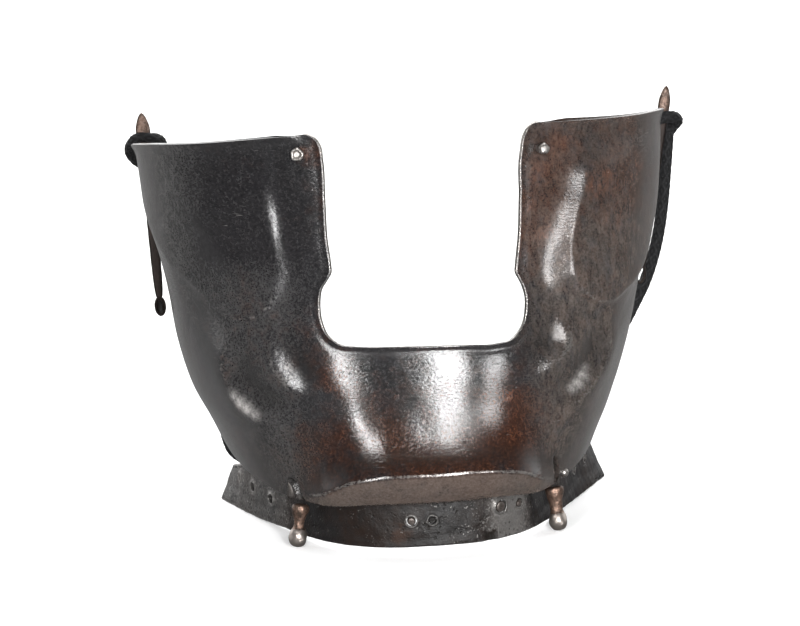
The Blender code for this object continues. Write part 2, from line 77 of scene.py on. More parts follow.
back = np.array([math.sin(AZIMUTH) * math.cos(ELEVATION), -math.cos(AZIMUTH) * math.cos(ELEVATION),
                 math.sin(ELEVATION)])
level = np.array([math.cos(AZIMUTH), math.sin(AZIMUTH), 0.0])
upright = np.cross(back, level)
across = math.cos(ROLL) * level - math.sin(ROLL) * upright
above = math.sin(ROLL) * level + math.cos(ROLL) * upright
stand = LOOK_AT + back * DISTANCE
sight = stand - (LOOK_AT + ASIDE * across + ASIDE * above)
sight /= np.linalg.norm(sight)
across -= sight * (across @ sight)
across /= np.linalg.norm(across)
above = np.cross(sight, across)

camera_data = bpy.data.cameras.new("camera")
camera_data.lens = 151.8
camera_data.sensor_width = 36.0
camera_data.clip_start = 0.05
camera_data.clip_end = 50.0
camera = bpy.data.objects.new("camera", camera_data)
bpy.context.scene.collection.objects.link(camera)
turn = np.eye(4)
turn[:3, 0], turn[:3, 1], turn[:3, 2], turn[:3, 3] = across, above, sight, placed(stand)
camera.matrix_world = Matrix(turn.tolist())
bpy.context.scene.camera = camera
print("camera stands at", placed(stand).round(3))

# %% [markdown]
# ## The chin cord
# The mask is tied on with a thick black braid. Off the head it is limp: from the hitch behind the left
# cheek it drops behind the jaw, crosses the table and climbs to the hitch behind the right cheek. A braid
# could be a plain tube with a bump, but its scalloped outline shows against a pale ground, so the strands
# are real relief: two families of helices cross, and the surface stands high where a strand lies on top.

# %% Smooth tables and lines
def table(x, xs, ys):
    """A smooth curve through the points (xs, ys): a cubic in each span, with slopes from the neighbours."""
    xs, ys = np.asarray(xs, float), np.asarray(ys, float)
    x = np.clip(np.asarray(x, float), xs[0], xs[-1])
    slope = np.gradient(ys, xs)
    i = np.clip(np.searchsorted(xs, x, side="right") - 1, 0, len(xs) - 2)
    span = xs[i + 1] - xs[i]
    u = (x - xs[i]) / span
    rise = ys[i] * (1 + 2 * u) * (1 - u) ** 2 + ys[i + 1] * u * u * (3 - 2 * u)
    return rise + span * (slope[i] * u * (1 - u) ** 2 + slope[i + 1] * u * u * (u - 1))


def ease(x):
    """0 below 0, 1 above 1, and an even swing between."""
    x = np.clip(x, 0.0, 1.0)
    return x * x * (3 - 2 * x)


def bell(x, width):
    """A round hump: 1 at 0, falling away over the given width."""
    return np.exp(-((x / width) ** 2))


def smooth_line(points, step):
    """The smooth line through given points, read at an even step along it."""
    points = np.asarray(points, float)
    chord = np.concatenate([[0.0], np.cumsum(np.linalg.norm(np.diff(points, axis=0), axis=1))])
    dense = np.linspace(0, chord[-1], 60 * len(points))
    line = np.stack([table(dense, chord, points[:, k]) for k in range(points.shape[1])], -1)
    length = np.concatenate([[0.0], np.cumsum(np.linalg.norm(np.diff(line, axis=0), axis=1))])
    even = np.linspace(0, length[-1], max(int(length[-1] / step), 2) + 1)
    return np.stack([np.interp(even, length, line[:, k]) for k in range(points.shape[1])], -1)


def cross_frames(line):
    """Two unit directions square to a line at each point, turning with it as little as possible."""
    along = np.gradient(line, axis=0)
    along /= np.linalg.norm(along, axis=1, keepdims=True)
    side = np.empty_like(line)
    side[0] = np.cross(along[0], [0.0, 1.0, 0.2])
    for k in range(1, len(line)):
        side[k] = side[k - 1] - along[k] * (side[k - 1] @ along[k])
        side[k] /= np.linalg.norm(side[k])
    side[0] /= np.linalg.norm(side[0])
    return side, np.cross(along, side)


# %% Grids of points made into pieces
def woven(rows, columns, round_rows=False, round_columns=False):
    """Four-cornered faces over a grid of points, joined round on itself where asked."""
    i = np.arange(rows if round_rows else rows - 1)
    j = np.arange(columns if round_columns else columns - 1)
    i, j = (a.ravel() for a in np.meshgrid(i, j, indexing="ij"))
    corners = ((0, 0), (0, 1), (1, 1), (1, 0))
    return np.stack([(i + a) % rows * columns + (j + b) % columns for a, b in corners], 1)


def closed_tube(grid, tips):
    """Points and faces of a tube through rows of points, its two ends closed by fans to two tips."""
    rows, columns = grid.shape[:2]
    here = np.arange(columns)
    beside, last = (here + 1) % columns, (rows - 1) * columns
    start = np.stack([beside, here, np.full(columns, rows * columns)], -1)
    end = np.stack([last + here, last + beside, np.full(columns, rows * columns + 1)], -1)
    return np.concatenate([grid.reshape(-1, 3), tips]), [woven(rows, columns, round_columns=True), start, end]


def outward(points, blocks):
    """Blocks of faces, turned round if the sum of a . (b x c) over their triangles is below 0."""
    a, b, c = (np.concatenate([points[f[:, k]] for f in blocks for k in pair]) - points.mean(0)
               for pair in ((0, 0), (1, 2), (2, -1)))
    return [f[:, ::-1] for f in blocks] if (a * np.cross(b, c)).sum() < 0 else blocks


def piece(name, points, blocks, finish, slot, stands_for, uv_blocks=None, marks=None):
    """A named piece from points in drawing millimetres.

    A pair of uv values goes with each corner of each face. A mark is one value, or one for each point.
    """
    turned_out = outward(points, blocks)
    if turned_out is not blocks and uv_blocks is not None:
        uv_blocks = [pairs[:, ::-1] for pairs in uv_blocks]
    listed = [face for block in turned_out for face in block.tolist()]
    mesh = bpy.data.meshes.new(name)
    mesh.from_pydata(placed(points).tolist(), [], listed)
    mesh.polygons.foreach_set("use_smooth", np.ones(len(mesh.polygons), bool))
    if uv_blocks is not None:
        pairs = np.concatenate([pairs.reshape(-1, 2) for pairs in uv_blocks])
        mesh.uv_layers.new(name="surface").data.foreach_set("uv", pairs.astype(np.float32).ravel())
    for mark, values in (marks or {}).items():
        values = np.broadcast_to(np.asarray(values, np.float32).ravel(), len(points))
        mesh.attributes.new(mark, "FLOAT", "POINT").data.foreach_set("value", np.ascontiguousarray(values))
    mesh.materials.append(finish)
    mesh.update()
    thing = bpy.data.objects.new(name, mesh)
    bpy.context.scene.collection.objects.link(thing)
    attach(thing, "root")
    if stands_for:
        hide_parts(*stands_for)
    print(f"{name}: {len(points)} points, {sum(len(face) - 2 for face in listed)} triangles")
    return thing


# %% Finishes are named here and given their nodes further down
finishes = {
    name: bpy.data.materials.new(name)
    for name in ("face_iron", "plate_iron", "brown_iron", "bright_iron", "black_braid")
}

# %% A braided tube
CORD = 3.6
BRAID_PITCH = 4.6  # along the cord, from one place in the pattern to the next one like it
STRANDS = 8
CORD_STEP, HITCH_STEP = 0.3, 0.16  # between the rows of points


def braid(line, depth, around):
    """Tube round a line, whose radius follows the higher of two helix families that cross each other."""
    side, other = cross_frames(line)
    step = np.linalg.norm(np.diff(line, axis=0), axis=1).mean()
    turn = np.arange(around) * 2 * math.pi / around
    along = np.arange(len(line))[:, None] * step / BRAID_PITCH * 2 * math.pi
    lay = STRANDS / 2
    right = np.cos(lay * turn[None, :] + along)
    left = np.cos(lay * turn[None, :] - along)
    over = np.sin(along + 0 * turn[None, :]) * np.sin(lay * turn[None, :])
    strands = np.where(over > 0, np.abs(right) ** 0.7, np.abs(left) ** 0.7)
    reach = CORD / 2 * (1 - depth + depth * strands)
    ring = np.cos(turn)[None, :, None] * side[:, None] + np.sin(turn)[None, :, None] * other[:, None]
    return line[:, None] + ring * reach[..., None], strands


def braided_piece(name, grid, strands, tips, stands_for):
    """A piece of braid from its rows of points and how high the strands stand in each."""
    return piece(name, *closed_tube(grid, tips), finishes["black_braid"], "black_cord", stands_for, None,
                 {"lift": np.concatenate([strands.ravel(), [1, 1]])})


# %% Lay the cord
CORD_ROUTE = (
    (-73.2, 42.8, 95.7), (-72.2, 42.5, 90), (-69.8, 42, 80), (-67, 41.6, 67), (-63.8, 41.4, 53),
    (-59.8, 41.2, 40), (-56.6, 41.4, 28), (-54.8, 42.5, 17), (-52.4, 45.2, 8), (-47, 50, 3.2),
    (-36, 56, 2.1), (-20, 60.5, 2.1), (0, 62, 2.1), (20, 60.5, 2.1), (36, 56, 2.1), (47, 50.5, 3.2),
    (52.5, 46.5, 11), (56.8, 43.5, 23), (61.9, 42, 34.5), (67.8, 41.5, 45.4), (71.7, 41.5, 53),
    (74.4, 41.5, 60.6), (76.2, 41.4, 68), (77.5, 41.4, 76), (78.5, 41.3, 85), (79.2, 41.2, 92),
    (79.7, 41.2, 97.2),
)
END_ROUND = 0.35  # how far each end is drawn out, in radii
cord_line = smooth_line(CORD_ROUTE, CORD_STEP)
cord_tips = [end + (end - before) / np.linalg.norm(end - before) * CORD / 2 * END_ROUND
             for end, before in ((cord_line[0], cord_line[1]), (cord_line[-1], cord_line[-2]))]
cord_grid, cord_strands = braid(cord_line, depth=0.16, around=56)
chin_cord = braided_piece("chin_cord_braid", cord_grid, cord_strands, cord_tips, ["chin_cord"])

# %% [markdown]
# ## The hitches
# Behind each ear the braid makes one turn round the iron strip and its end is tucked under itself. Pulled
# tight, a braid goes flat against what it holds, so each hitch is the same braided tube on a short winding
# path, and the part that lies round the strip is squeezed towards the strip's middle.

# %% Tie the hitches
HITCH_LEFT = (
    (-73.2, 44.0, 95.5), (-75.3, 43.6, 96.9), (-76.9, 42.6, 98.9), (-77.3, 41.0, 101.0),
    (-76.9, 38.8, 102.7), (-75.9, 36.5, 104.0), (-74.0, 35.2, 104.6), (-71.6, 35.4, 104.4),
    (-69.0, 38.0, 103.6), (-67.9, 41.0, 102.2), (-68.6, 43.6, 100.6), (-71.5, 44.2, 99.8),
    (-74.4, 43.8, 99.4), (-76.0, 44.4, 98.4),
)
HITCH_RIGHT = (
    (79.7, 41.2, 96.9), (81.2, 41.0, 98.8), (82.3, 39.4, 100.4), (80.9, 36.6, 102.0), (78.4, 35.0, 102.3),
    (75.7, 35.6, 101.7), (74.8, 37.8, 100.6), (75.6, 40.4, 99.6), (77.8, 42.2, 99.2), (80.4, 42.8, 99.8),
    (82.0, 42.6, 100.7),
)


def hitch(name, route, middle, stands_for):
    """The braid on a short path. Offsets from the path that point at the strip are cut to two thirds."""
    line = smooth_line(route, HITCH_STEP)
    grid, strands = braid(line, depth=0.2, around=40)
    out = (line - [*middle, 0.0]) * [1.0, 1.0, 0.0]
    out /= np.linalg.norm(out, axis=1, keepdims=True)
    along = np.linspace(0, 1, len(line))
    tight = 0.36 * ease((along - 0.12) / 0.2) * ease((1 - along) / 0.25)
    offset = grid - line[:, None]
    toward = (offset * out[:, None]).sum(-1, keepdims=True)
    grid = grid - tight[:, None, None] * toward * out[:, None]
    return braided_piece(name, grid, strands, [line[0], line[-1] * 2 - line[-3]], stands_for)


hitch_left = hitch("braid_hitch_left", HITCH_LEFT, (-73.3, 36.8), ["cord_knot_left"])
hitch_right = hitch("braid_hitch_right", HITCH_RIGHT, (77.7, 36.8), ["cord_knot_right"])

# %% [markdown]
# ## The face sheet: its plain form
# One sheet of iron is raised over stakes until it fits the jaw. A smith's sheet is easiest to draw as a
# map: a place on it is an angle round the face and a height, and the plan at each height is a rounded oval
# in front of the ears and nearly straight behind them. Sculpting would give the same look, but a map keeps
# left and right, edge and fold, where numbers put them.

# %% Plan of the face at each height
HEIGHTS = (0, 12, 20, 28, 37, 50, 64, 80, 97, 116)
HALF_LEFT = (50, 52.5, 55.5, 59, 63.4, 66.9, 68.6, 70.2, 71.5, 73)
HALF_RIGHT = (46, 48.5, 51.7, 55.4, 59, 63, 66.2, 68.3, 69.8, 70.3)
FORWARD = (50, 50, 50.5, 50, 49, 48, 45, 42.5, 41, 39.5)
ROUNDNESS = 2.4


def plan(angle, z):
    """|x/half|^n + |y/front|^n = 1 ahead of the ears, read at an angle; straight sides behind them."""
    right = ease((angle + 25) / 50)
    half = table(z, HEIGHTS, HALF_LEFT) * (1 - right) + table(z, HEIGHTS, HALF_RIGHT) * right
    front = table(z, HEIGHTS, FORWARD) + EAR_Y
    a = np.radians(np.minimum(np.abs(angle), 90.0))
    radius = ((np.sin(a) / half) ** ROUNDNESS + (np.cos(a) / front) ** ROUNDNESS) ** (-1 / ROUNDNESS)
    behind = np.radians(np.maximum(np.abs(angle) - 90.0, 0.0))
    x = np.sign(angle) * (radius * np.sin(a) - 0.05 * half * behind**2)
    return np.stack([x, EAR_Y - radius * np.cos(a) + half * behind, z + 0 * x], -1)


def square_out(angle, z):
    """The direction square out of the plain form, from the cross product of its two slopes."""
    around = plan(angle + 0.05, z) - plan(angle - 0.05, z)
    upward = plan(angle, z + 0.05) - plan(angle, z - 0.05)
    out = np.cross(around, upward)
    return out / np.linalg.norm(out, axis=-1, keepdims=True)


# %% Lines drawn on the sheet
def drawn(points, count=110):
    """A smooth line through (angle, height) points, read at an even step."""
    points = np.asarray(points, float)
    steps = np.hypot(np.diff(points[:, 0]) * ARC_MM, np.diff(points[:, 1]))
    t = np.concatenate([[0.0], np.cumsum(steps)]) / steps.sum()
    u = np.linspace(0, 1, count)
    return np.stack([table(u, t, points[:, 0]), table(u, t, points[:, 1])], -1)


def distance(angle, z, line):
    """Millimetres to a drawn line, positive to the right of its run, and the nearest place on it, 0 to 1."""
    s = angle * ARC_MM
    line = line * np.array([ARC_MM, 1.0])
    nearest, signed, share = np.full(angle.shape, 1e9), np.zeros(angle.shape), np.zeros(angle.shape)
    for k in range(len(line) - 1):
        a, d = line[k], line[k + 1] - line[k]
        u = np.clip(((s - a[0]) * d[0] + (z - a[1]) * d[1]) / (d @ d), 0, 1)
        away = np.hypot(s - a[0] - u * d[0], z - a[1] - u * d[1])
        closer = away < nearest
        side = np.sign(d[1] * (s - a[0]) - d[0] * (z - a[1]))
        nearest = np.where(closer, away, nearest)
        signed = np.where(closer, side * away, signed)
        share = np.where(closer, (k + u) / (len(line) - 1), share)
    return signed, share


# %% [markdown]
# ## The face sheet: raised forms
# The cheeks swell in two lobes, two short folds stand on each side of the mouth, and a ridge crosses the
# chin above a facet that slopes back to the flange. Each is a smooth hill or step in the distance to a
# drawn line, added square to the plain form, as a smith adds them with a hammer from the back. Long faint
# waves stand for the hammer marks that the file did not reach, and they make the reflections wander as they
# do on hand-raised iron.

# %% Lobes of the cheeks
LOBE_UP = 3.4
LOBE_LEFT = (
    (-40, 130), (-39, 112), (-37.5, 101.5), (-36, 94.5), (-34.8, 87), (-33.5, 79.5), (-33.2, 75), (-34.5, 70),
    (-37.5, 65.8), (-41, 64), (-46, 64.6), (-50, 67), (-56, 71), (-62, 75.5), (-70, 81), (-80, 87),
    (-95, 95), (-125, 108),
)
LOBE_RIGHT = (
    (42, 130), (43, 112), (41.8, 103), (40.5, 95.5), (38, 88), (36, 80), (35.4, 74), (36.2, 69), (38.8, 65.3),
    (43, 62.9), (47, 62.9), (51, 64.3), (56, 66), (61, 69), (65, 73.5), (69, 79), (74, 85), (82, 91),
    (95, 98), (125, 108),
)


def lobes(angle, z):
    """Height of the lobes: a flank up to the lobe's line, a rounded crease there, a slow swell inside.

    The line stands lower beside the nose than under the belly, where part of the step is crisp. The strip
    between the left lobe and the nose flares out a little. Also returns a mark that is 1 on the crisp rim.
    """
    out, rims = np.zeros(angle.shape), np.zeros(angle.shape)
    borders = ((LOBE_LEFT, 1, 0.26, (5.5, 2.0, 0.5), 94, (70, 14), (78, 6), (66, 10)),
               (LOBE_RIGHT, -1, 0.78, (9.0, 2.0, 0.5), 98, (84, 14), (73, 6), (84, 14)))
    for line, side, low, (broad, power, soft), high, (turn, fade), (top, over), (reach, past) in borders:
        away = distance(angle, z, drawn(line, 150))[0] * side
        belly = np.maximum(ease((turn - z) / fade), ease((np.abs(angle) - 48) / 18))
        crest = (low + (1 - low) * belly) * (1 - 0.8 * ease((z - high) / 13) * (1 - belly))
        far = ease((-angle - 56) / 16)
        width, bend = broad + (9.0 - broad) * belly + 19 * far, power + (1.6 - power) * belly + 0.6 * far
        soft = soft + (0.5 - soft) * belly
        drop = (np.sqrt(away**2 + soft**2) - away) / 2
        below = ease((top - z) / over) * ease((reach - np.abs(angle)) / past)
        crisp = 0.30 * below
        flank = (1 - crisp) * np.clip(1 - drop / width, 0, 1) ** bend + crisp * ease(0.5 + away / 1.8)
        out += LOBE_UP * (crest * flank + (1 - crest) * ease(away / 26.0))
        rims = np.maximum(rims, below * bell(away - 0.3, 0.6))
    out += 0.09 * ARC_MM * np.maximum(np.minimum(angle, 0) + 33, 0) * ease((z - 62) / 16) * ease(-angle / 12)
    return out, rims


# %% Folds beside the mouth
# crest line; its height, width of its steep inner flank and of its easy outer flank;
# share of it that rises, then falls
FOLDS = (
    (((-36.5, 66), (-36.3, 61), (-35.6, 56.5), (-34.2, 52.5), (-31.8, 48.5), (-28.8, 45), (-26.0, 42.3)),
     (1.5, 5.0, 7.0), (0.55, 0.3)),
    (((-41.5, 62), (-44, 58.8), (-46.6, 54), (-47, 49), (-44.3, 44), (-39.6, 39.4), (-33.8, 35.8),
      (-28.5, 35)), (2.5, 5.6, 9.0), (0.25, 0.3)),
    (((30.5, 66.5), (31.8, 62), (32.6, 58.5), (32.8, 54.5), (30.7, 51), (27.5, 48), (24, 45.3), (21.5, 43.5)),
     (1.8, 5.0, 7.0), (0.4, 0.45)),
    (((41.5, 60.5), (43.6, 57.8), (45, 54.3), (45.2, 50.5), (43.6, 46), (40.6, 42.4), (37, 39.2), (33, 37),
      (28.7, 36), (24.5, 35.8)), (2.7, 5.2, 9.0), (0.25, 0.35)),
)


def folds(angle, z):
    """Height of the folds, how near a crest a place is, and how deep it lies in the groove inside a fold."""
    out, crests, grooves = (np.zeros(angle.shape) for _ in range(3))
    for line, (up, rise, fall), (start, end) in FOLDS:
        away, share = distance(angle, z, drawn(line))
        away = away * (1 if line[0][0] < 0 else -1)
        along = ease(share / start) * ease((1 - share) / end)
        outer = np.exp(-((np.maximum(away, 0) / fall) ** 1.5))
        inner = np.clip(1 + away / rise, 0, 1) ** 1.45
        dip = bell(away + 1.1 * rise, 0.7 * rise)
        out += (up * np.where(away > 0, outer, inner) - 0.25 * dip) * along
        crests = np.maximum(crests, bell(away - 0.2, 0.8) * along)
        grooves = np.maximum(grooves, dip * along)
    return out, crests, grooves


# %% Chin ridge, edges and hammer marks
CHIN_ANGLE = (0, 12, 18, 22, 26, 31, 36)
CHIN_CREST = (23.2, 23.0, 21.6, 19.2, 17.2, 16.0, 15.4)
CHIN_UP = (6.2, 6.1, 5.7, 4.4, 2.2, 0.5, 0.0)
SLITS = (((-32.4, 19.6), (-30.2, 14.0), 0.62), ((29.3, 21.6), (30.6, 15.0), 0.75))  # two ends, half width


def chin(angle, z):
    """The ridge: a cusp that falls quickly above its crest, and a facet below that keeps a quarter of it.

    Also returns marks for the crest, the facet and the band above the crest, which gets painted shade.
    """
    turn = np.abs(angle - 0.5)
    crest = table(turn, CHIN_ANGLE, CHIN_CREST)
    above = np.exp(-((np.maximum(z - crest, 0) / 7.5) ** 1.12))
    below = 1 - 0.75 * np.clip((crest - z) / 8.5, 0, 1) ** 1.3
    up = table(turn, CHIN_ANGLE, CHIN_UP)
    facet = ease((crest - z) / 0.8) * np.clip(up / 3, 0, 1)
    line = bell(z - crest - 0.1, 0.55) * np.clip(up / 2, 0, 1)
    # the band just above the crest, where shade is painted
    ridge_shade = bell(z - crest - 4.2, 2.4) * np.clip(up / 4, 0, 1)
    return up * np.where(z > crest, above, below), line, facet, ridge_shade


def hammer_marks(angle, z):
    """Six long waves that cross at odd angles, a fortieth of a millimetre high between them."""
    s = angle * ARC_MM
    waves = (
        (0.31, 0.17, 0.4), (-0.22, 0.36, 1.9), (0.47, -0.29, 3.1), (0.12, 0.52, 4.4), (-0.58, -0.12, 0.9),
        (0.71, 0.44, 2.6),
    )
    return sum(0.012 * np.sin(a * s + b * z + c) / (0.6 + math.hypot(a, b)) for a, b, c in waves)


def slits(angle, z):
    """How deep a place lies in one of the two slits: 1 in the middle and 0 outside."""
    deep = np.zeros(angle.shape)
    for start, end, half in SLITS:
        away, _ = distance(angle, z, np.array([start, end]))
        deep = np.maximum(deep, 1 - ease((np.abs(away) - 0.7 * half) / (0.5 * half)))
    return deep


# %% [markdown]
# ## The face sheet: its outline and its grid
# The sheet is a band from the left temple, round under the mouth, to the right temple. Its inner edge
# frames nose and mouth and its outer edge runs down behind the cheek and along the jaw, where a narrow
# flange is turned under. The grid follows the band, with more points in it near every edge, so that the 1.5
# mm edge of the iron is really rounded and catches a line of light.

# %% Edges of the band
OPENING = (
    (0.000, -26.4, 114.9), (0.012, -24.2, 113.8), (0.024, -22.9, 111.6), (0.040, -22.5, 108.0),
    (0.100, -22.2, 97.0), (0.165, -21.9, 86.3), (0.205, -21.2, 79.6), (0.216, -21.1, 77.8),
    (0.235, -22.2, 75.2), (0.255, -23.4, 72.8), (0.280, -23.8, 68.0), (0.305, -23.2, 63.8),
    (0.330, -21.5, 60.3), (0.350, -19.1, 58.4), (0.375, -15.8, 57.8), (0.440, -6.0, 57.4),
    (0.500, 0.0, 57.2), (0.565, 9.0, 56.8), (0.625, 15.8, 56.4), (0.650, 19.3, 57.0), (0.670, 21.5, 59.3),
    (0.695, 23.1, 62.5), (0.720, 23.8, 67.1), (0.745, 23.4, 70.5), (0.768, 22.6, 73.0),
    (0.783, 22.0, 74.8), (0.795, 22.3, 76.8), (0.835, 23.5, 84.0), (0.900, 24.5, 95.0),
    (0.960, 25.6, 107.3), (0.976, 26.6, 111.3), (0.988, 28.2, 113.6), (1.000, 30.4, 114.3),
)
# half of the outer edge: share, angle, height, then drop and inward reach of the flange
OUTER = (
    (0.000, 98.0, 103.4, 0.0, 0.2), (0.100, 97.4, 86.0, 0.0, 0.2), (0.200, 96.4, 68.0, 0.0, 0.3),
    (0.270, 95.0, 52.5, 0.2, 0.5), (0.320, 92.0, 40.0, 0.8, 0.8), (0.360, 86.0, 30.0, 2.0, 2.0),
    (0.390, 76.0, 23.6, 2.6, 3.8), (0.420, 60.5, 18.9, 2.4, 6.6), (0.440, 45.5, 16.0, 1.6, 8.0),
    (0.455, 34.5, 14.2, 1.2, 7.8), (0.470, 22.5, 14.6, 1.2, 5.6), (0.485, 12.0, 15.1, 1.2, 3.9),
    (0.500, 0.0, 15.2, 1.2, 3.1),
)
REAR_REACH = 2.0
CORNER_UP = 1.3  # how much higher the rear top corner stands on the right
TOP_BOW = ((0, 0), (0.12, 0.5), (0.3, 1.2), (0.55, 2.3), (0.8, 1.6), (1, 0))  # rise of the top edge
WALL = 1.5
BAND_MM = 175.0  # length of the band along its middle


def band_places(shares, rows):
    """Angle and height at a share along the band and a share across it, one row of shares for each column."""
    opening, half = np.array(OPENING), np.array(OUTER)
    outer = np.concatenate([half * [1, -1, 1, 1, 1], half[-2::-1] * [-1, 1, 1, 1, 1] + [1, 0, 0, 0, 0]])
    inner = np.stack([table(shares, opening[:, 0], opening[:, k]) for k in (1, 2)], -1)[:, None]
    bend = np.stack([table(shares, outer[:, 0], outer[:, k]) for k in (1, 2)], -1)[:, None]
    places = inner * (1 - rows[..., None]) + bend * rows[..., None]
    near_top = np.clip(1 - np.minimum(shares, 1 - shares) / 0.22, 0, 1) ** 2
    right = (shares > 0.5)[:, None]
    bow = table(rows, *np.array(TOP_BOW).T) * np.where(right, 1.0, 0.8)
    places[..., 1] += near_top[:, None] * (bow + np.where(right, CORNER_UP * rows, 0.0))
    return places, np.stack([table(shares, outer[:, 0], outer[:, k]) for k in (3, 4)], -1)


# %% Rows and columns, crowded at the edges
EDGE_STEPS = np.array([0, 0.02, 0.08, 0.18, 0.32, 0.5, 0.7, 0.95, 1.3, 1.8, 2.4, 3.1, 3.8])
EDGE_WIDE = EDGE_STEPS[-1]
half_band = np.concatenate([EDGE_STEPS / BAND_MM, np.linspace(EDGE_WIDE / BAND_MM, 0.36, 73)[1:],
                            np.linspace(0.36, 0.4535, 58)[1:], np.linspace(0.4535, 0.466, 26)[1:],
                            np.linspace(0.466, 0.5, 26)[1:]])
shares = np.concatenate([half_band, 1 - half_band[-2::-1]])
rough_places, flange = band_places(shares, np.tile(np.linspace(0, 1, 41), (len(shares), 1)))
rough = plan(rough_places[..., 0], rough_places[..., 1])
band_width = np.linalg.norm(np.diff(rough, axis=1), axis=-1).sum(1)

BEND_STEP, BEND_ROWS, BEND_ROUNDS = 0.2, 12, 10  # rows near the bend, and how often it is averaged
ACROSS = 72
middle_rows = np.linspace(0, 1, ACROSS)[1:-1]
near_bend = np.arange(BEND_ROWS) * BEND_STEP - (BEND_ROWS - 1) * BEND_STEP
from_opening = np.concatenate([
    np.tile(EDGE_STEPS, (len(shares), 1)),
    EDGE_WIDE + middle_rows[None, :] * (band_width[:, None] - EDGE_WIDE + near_bend[0]),
    band_width[:, None] + near_bend[None, :],
], 1)
places, flange = band_places(shares, from_opening / band_width[:, None])
print(f"band {band_width.min():.0f} to {band_width.max():.0f} mm wide,",
      f"{from_opening.shape} points on the face")

# %% Raise the face and turn the flange
angle, z = places[..., 0], places[..., 1]
lobe_up, rims = lobes(angle, z)
fold_up, crests, grooves = folds(angle, z)
chin_up, ridge, facet, ridge_shade = chin(angle, z)
from_top = np.minimum(shares, 1 - shares)[:, None] * BAND_MM
mouth = ease((shares - 0.31) / 0.04) * ease((0.69 - shares) / 0.04)
edge_line = band_places(shares, np.zeros((len(shares), 1)))[0][:, 0]
from_edge = np.abs(distance(angle, z, edge_line)[0])
roll = (0.25 + 0.75 * mouth)[:, None] * (0.34 * bell(from_edge, 0.9) - 0.14 * bell(from_edge - 1.7, 0.7))
lip = 1.0 * bell(from_top, 2.2) * ease(from_opening / 10) + 0.15 * bell(from_top, 1.0)
dents = slits(angle, z)
up = lobe_up + fold_up + chin_up + hammer_marks(angle, z) + roll + lip - 1.6 * dents
face = plan(angle, z) + square_out(angle, z) * up[..., None]

last = face[:, -1]
inward = np.stack([-last[:, 0], EAR_Y - last[:, 1]], -1)
inward[last[:, 1] > EAR_Y, 1] = 0.0
inward /= np.linalg.norm(inward, axis=-1, keepdims=True)
reach = REAR_REACH * ease((last[:, 1] - 12) / 14)
turn_under = np.stack([inward[:, 0] * flange[:, 1], inward[:, 1] * flange[:, 1] + reach, -flange[:, 0]], -1)
flange_long = np.linalg.norm(turn_under, axis=1)
close = EDGE_STEPS[6::-1][None, :]
on_flange = np.concatenate([
    np.tile(np.arange(1, 6) * BEND_STEP, (len(shares), 1)),
    1.0 + np.linspace(0, 1, 7)[None, 1:-1] * (flange_long[:, None] - 1.7),
    flange_long[:, None] - close,
], 1)
ledge = last[:, None] + turn_under[:, None] * (on_flange / flange_long[:, None])[..., None]
sheet_face = np.concatenate([face, ledge], 1)
a, b = face.shape[1] - 10, face.shape[1] + 4
for _ in range(BEND_ROUNDS):
    before, here, after = (sheet_face[:, a + k:b + k] for k in (-1, 0, 1))
    sheet_face[:, a:b] = (before + 2 * here + after) / 4
print("face and flange:", sheet_face.shape)


# %% Give the sheet its wall
def grid_normals(grid):
    """Unit directions square to a grid of points, from the cross product of its two slopes."""
    out = np.cross(np.gradient(grid, axis=0), np.gradient(grid, axis=1))
    return out / np.maximum(np.linalg.norm(out, axis=-1, keepdims=True), 1e-12)


def walled(outer, out, wall, edge_distances, rounding=0.6, fullness=2.4):
    """Two faces either side of the wall's middle, drawn together near the edges by a rounded profile.

    Half the wall at a distance d from an edge is wall/2 * (1 - q^n)^(1/n) with q = 1 - d/rounding.
    The points of the rim are shared, so the wall is closed.
    """
    q = np.sqrt(sum(np.clip(1 - d / rounding, 0, 1) ** 2 for d in edge_distances))
    half = wall / 2 * (1 - np.clip(q, 0, 1) ** fullness) ** (1 / fullness)
    middle = outer - out * wall / 2
    near, far = middle + out * half[..., None], middle - out * half[..., None]
    rows, columns = outer.shape[:2]
    index = np.arange(rows * columns).reshape(rows, columns)
    inner_index = index.copy()
    inner = rows - 2, columns - 2
    inner_index[1:-1, 1:-1] = rows * columns + np.arange(math.prod(inner)).reshape(inner)
    points = np.concatenate([near.reshape(-1, 3), far[1:-1, 1:-1].reshape(-1, 3)])
    return points, index, inner_index


def quads(index):
    """Four-cornered faces over a grid of point numbers."""
    return np.stack([index[:-1, :-1], index[:-1, 1:], index[1:, 1:], index[1:, :-1]], -1).reshape(-1, 4)


def facing(points, faces, way):
    """Faces turned round if on the whole they look away from a direction."""
    a, b, c = (points[faces[:, k]] for k in (0, 1, 2))
    return faces if (np.cross(b - a, c - a) * way).sum() > 0 else faces[:, ::-1]


out = grid_normals(sheet_face)
if out[len(shares) // 2, 40, 1] > 0:  # the chin looks along -y
    out = -out
flange_rows = on_flange.shape[1]
row_open = np.concatenate([from_opening, np.full((len(shares), flange_rows), 99.0)], 1)
row_end = np.concatenate([np.full(from_opening.shape, 99.0), flange_long[:, None] - on_flange], 1)
row_top = np.broadcast_to(from_top, row_open.shape)
points, front_index, back_index = walled(sheet_face, out, WALL, (row_open, row_end, row_top))
front, rear = quads(front_index), quads(back_index)[:, ::-1]


# %% Where the sheet is worn, hollow, russet or rusted
def spots(angle, z, places):
    """Soft round spots: each is an angle, a height, a radius in millimetres and a strength."""
    found = np.zeros(angle.shape)
    for at, height, radius, strength in places:
        found = np.maximum(found, strength * bell(np.hypot((angle - at) * ARC_MM, z - height), radius))
    return found


